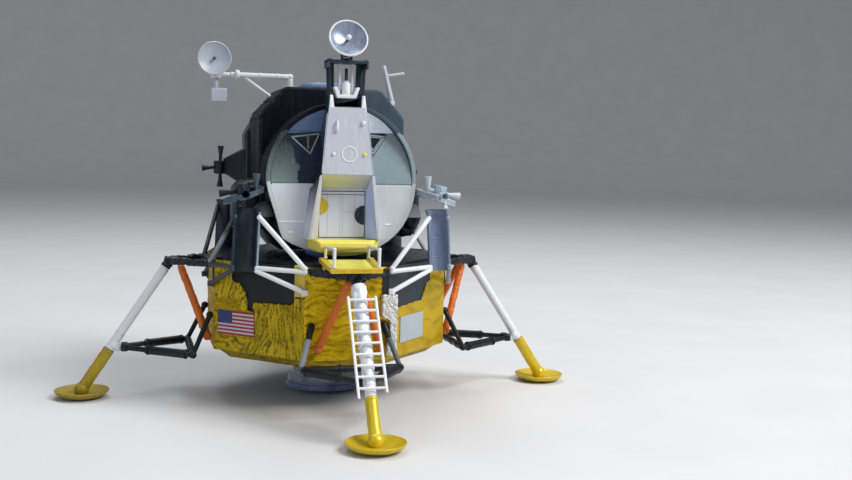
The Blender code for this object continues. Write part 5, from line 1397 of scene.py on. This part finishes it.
# ---- radar and aerials ------------------------------------------------------------------------
ry = -33.5
s = [soft(box((-7.1, 7.1), (ry - 3.8, ry + 3.8), (120.2, 121.2)), 0.2, 2)]
for t in (-1, 1):
    s.append(soft(box(sorted((t * 6.3, t * 7.1)), (ry - 3.8, ry + 3.8), (118.4, 121.0)), 0.15))
    for dy in (-1.2, 2.9):
        s.append(tube([(t * 5.7, ry + dy, 109.5), (t * 6.2, ry + dy, 120.6)], 0.45, 14, 0, 0.1, 3))
        s.append(tube([(t * 5.72, ry + dy, 109.55), (t * 5.73, ry + dy, 110.2)], 0.72, 14, 0, 0.12))
    s.append(tube([(t * 2.2, ry + 0.6, 109.2), (t * 2.2, ry + 0.6, 120.6)], 0.5, 14, 1, 0.1, 3))
    s.append(soft(box(sorted((t * 5.6, t * 6.9)), (ry - 3.4, ry + 3.4), (121.15, 121.5)), 0.12))
for t in (-1, 1):
    s.append(soft(hull([(t * x, ry + dy, z) for x, z in ((3.7, 110.3), (5.7, 110.3), (3.9, 120.3), (6.1, 120.3)) for dy in (2.3, 2.7)]), 0.1))
cradle = [(-4.6, 112.2), (-3.3, 108.4), (3.3, 108.4), (4.6, 112.2), (3.4, 112.2), (2.4, 109.6), (-2.4, 109.6), (-3.4, 112.2)]
s.append(soft(prism(cradle, "y", ry - 1.6, ry + 1.6, 2), 0.2, 3, 20, 0.25))
s.append(tube([(0, ry, 109.2), (0, ry, 113.8)], 1.5, 32, 2, 0.35))
s.append(tube([(0, ry, 113.2), (0, ry, 114.4)], 0.9, 24, 1, 0.2))
s.append(tube([(0, ry, 114.0), (0, ry, 118.6)], 0.55, 18, 0, 0.15))
s.append(soft(box((-6.2, 6.2), (ry + 2.5, ry + 3.3), (109.7, 110.7)), 0.15))
s.append(soft(box((-0.6, 0.6), (ry, ry + 3.0), (109.2, 110.4)), 0.12))
piece("radar_frame", join(*s), ASC, [DARK_SLATE, LIGHT, WHITE], "radar_stand", 35)
s = [tube([(0, ry, 121.3), (0, ry, 122.0)], 1.9, 32, 0, 0.2)]
for t in (-1, 1):
    s.append(soft(box(sorted((t * 1.2, t * 2.0)), (ry - 0.75, ry + 0.75), (121.6, 124.0)), 0.2, 3))
    s.append(tube([(t * 2.0, ry, 123.2), (t * 2.18, ry, 123.2)], 0.45, 16, 0, 0.08))
piece("radar_yoke_painted", join(*s), "radar_yoke", DARK_SLATE, "radar_neck", 35)


def reflector(centre, axis, r, depth, wall, m_in=0, m_out=1, n=96):
    """Dish with a smooth bowl, a rolled rim and stiffening ribs on its back."""
    ks = np.linspace(0, 1, 15)
    front = [(r * k * 0.965, -depth * (1 - k * k)) for k in ks[::-1]]
    rim = [(r - wall * 0.9, 0.0), (r - wall * 0.6, 0.12), (r - 0.2, 0.14), (r - 0.02, -0.05), (r, -wall * 0.6), (r - 0.1, -wall)]
    backs = [(max(r * k - 0.12, 0.0001), -depth * (1 - k * k) - wall) for k in ks[::-1]]
    inner = lathe([(0.0001, front[-1][1])] + front[::-1][1:] + rim[:3], centre, axis, n, m_in)
    outer = lathe([rim[2], rim[3], rim[4], rim[5]] + backs[1:-1] + [(0.0001, backs[-1][1])], centre, axis, n, m_out)
    d = Vector(axis).normalized()
    u, v = across(d)
    ribs = []
    for k in range(8):
        w = k * math.pi / 4 + 0.2
        rad = u * math.cos(w) + v * math.sin(w)
        pts = [Vector(centre) + rad * (r * q) + d * (-depth * (1 - q * q) - wall - 0.04) for q in (0.25, 0.45, 0.65, 0.85, 0.97)]
        ribs.append(tube(pts, [0.3, 0.28, 0.24, 0.2, 0.14], 10, m_out))
    return join(inner, outer, *ribs)


up = math.radians(22)
d = Vector((0, -math.cos(up), math.sin(up)))
rim = Vector((0, ry - 3.0, 128.7))
rear = rim - d * 2.9
s = [reflector(rim, d, 6.8, 2.2, 0.6), tube([rim - d * 2.3, rim + d * 0.3], [0.5, 0.4], 18, 3, 0.1, 4), ball(rim + d * 0.4, 0.95, 24, 14, 2)]
u, v = across(d)
s.append(loop([tuple(rim + (u * math.cos(w) + v * math.sin(w)) * 6.5 + d * 0.02) for w in np.arange(72) * math.pi / 36], 0.3, 8, 1))
s += [tube([(0, ry, 123.2), rear + Vector((0, 0.2, -0.2))], 0.75, 20, 3, 0.15), tube([(-0.95, ry, 123.2), (0.95, ry, 123.2)], 0.85, 24, 3, 0.12), tube([rear - d * 0.4, rim - d * 2.5], [1.25, 1.6], 28, 3, 0.15)]
piece("radar_dish_polished", join(*s), "radar_dish", [DISH, WHITE, WHITE, SLATE], "radar_dish", 40)

bx, by, bz = -41.4, 0.0, 117.2
s = [tube([(-14.3, by, 113.1), (-14.3, by, bz)], 1.05, 24, 0, 0.15), ball((-14.3, by, bz), 1.2, 20, 12), tube([(-14.3, by, bz), (-36.2, by, bz)], 1.0, 24, 0, 0.2, 6),
     tube([(-32.9, by, bz), (-34.4, by, bz)], 1.85, 28, 0, 0.35), tube([(-31.6, by, bz - 0.3), (-21.6, by, 109.9)], 0.55, 16, 0, 0.15, 4), tube([(-14.3, by, 113.1), (-14.3, by, 113.9)], 1.95, 28, 0, 0.3)]
for x in (-19.0, -25.5):
    s.append(tube([(x - 0.3, by, bz), (x + 0.3, by, bz)], 1.18, 24, 0, 0.12))
piece("aerial_boom", join(*s), ASC, LIGHT, "s_band_boom", 35)
s = [tube([(-36.3, by, bz), (-39.6, by, bz)], 0.8, 24, 0, 0.15)]
s.append(lathe([(1.15, -1.4), (1.8, -1.4), (2.0, -1.2), (2.0, 1.2), (1.8, 1.4), (1.15, 1.4), (1.15, -1.4)], (bx, by, bz), (0, 0, 1), 40))
piece("aerial_hub", join(*s), "s_band_hub", LIGHT, "s_band_hub", 35)
rim = Vector((bx - 0.8, by - 4.2, bz + 5.4))
d = Vector((0, -1, 0.06)).normalized()
s = [reflector(rim, d, 6.0, 1.5, 0.55), tube([rim - d * 1.6, rim - d * 0.2], [0.5, 0.4], 16, 2, 0.1, 3), ball(rim - d * 0.2, 0.62, 18, 10, 2),
     tube([(bx, by, bz - 6.0), (bx, by, bz + 5.2)], 0.9, 24, 0, 0.15, 4), tube([(bx, by, bz + 5.0), rim - d * 1.7], 0.9, 24, 0, 0.15), ball((bx, by, bz + 5.0), 1.05, 18, 10),
     soft(box((bx - 1.7, bx + 3.9), (by - 1.7, by + 1.7), (bz - 9.9, bz - 5.0)), 0.35, 3)]
piece("aerial_dish", join(*s), "s_band_dish", [DISH_GREY, LIGHT, SLATE], "s_band_dish", 40)

out = Vector((0.743, 0, 0.669))
foot = Vector((22.2, -5.0, 107.78))
bend = foot + out * 1.5
s = [tube([foot + out * 0.15, bend], 1.5, 28, 0, 0.25), ball(bend, 1.2, 20, 12), tube([bend, (19.9, -5.0, 122.6)], [1.05, 0.75], 24, 0, 0.3, 8), tube([(21.4, -5.0, 118.9), (27.2, -5.0, 119.9)], 0.5, 16, 0, 0.15, 4), ball((27.2, -5.0, 119.9), 0.72, 16, 10)]
piece("rod_aerial", join(*s), ASC, PALE, "vhf_antenna", 35)
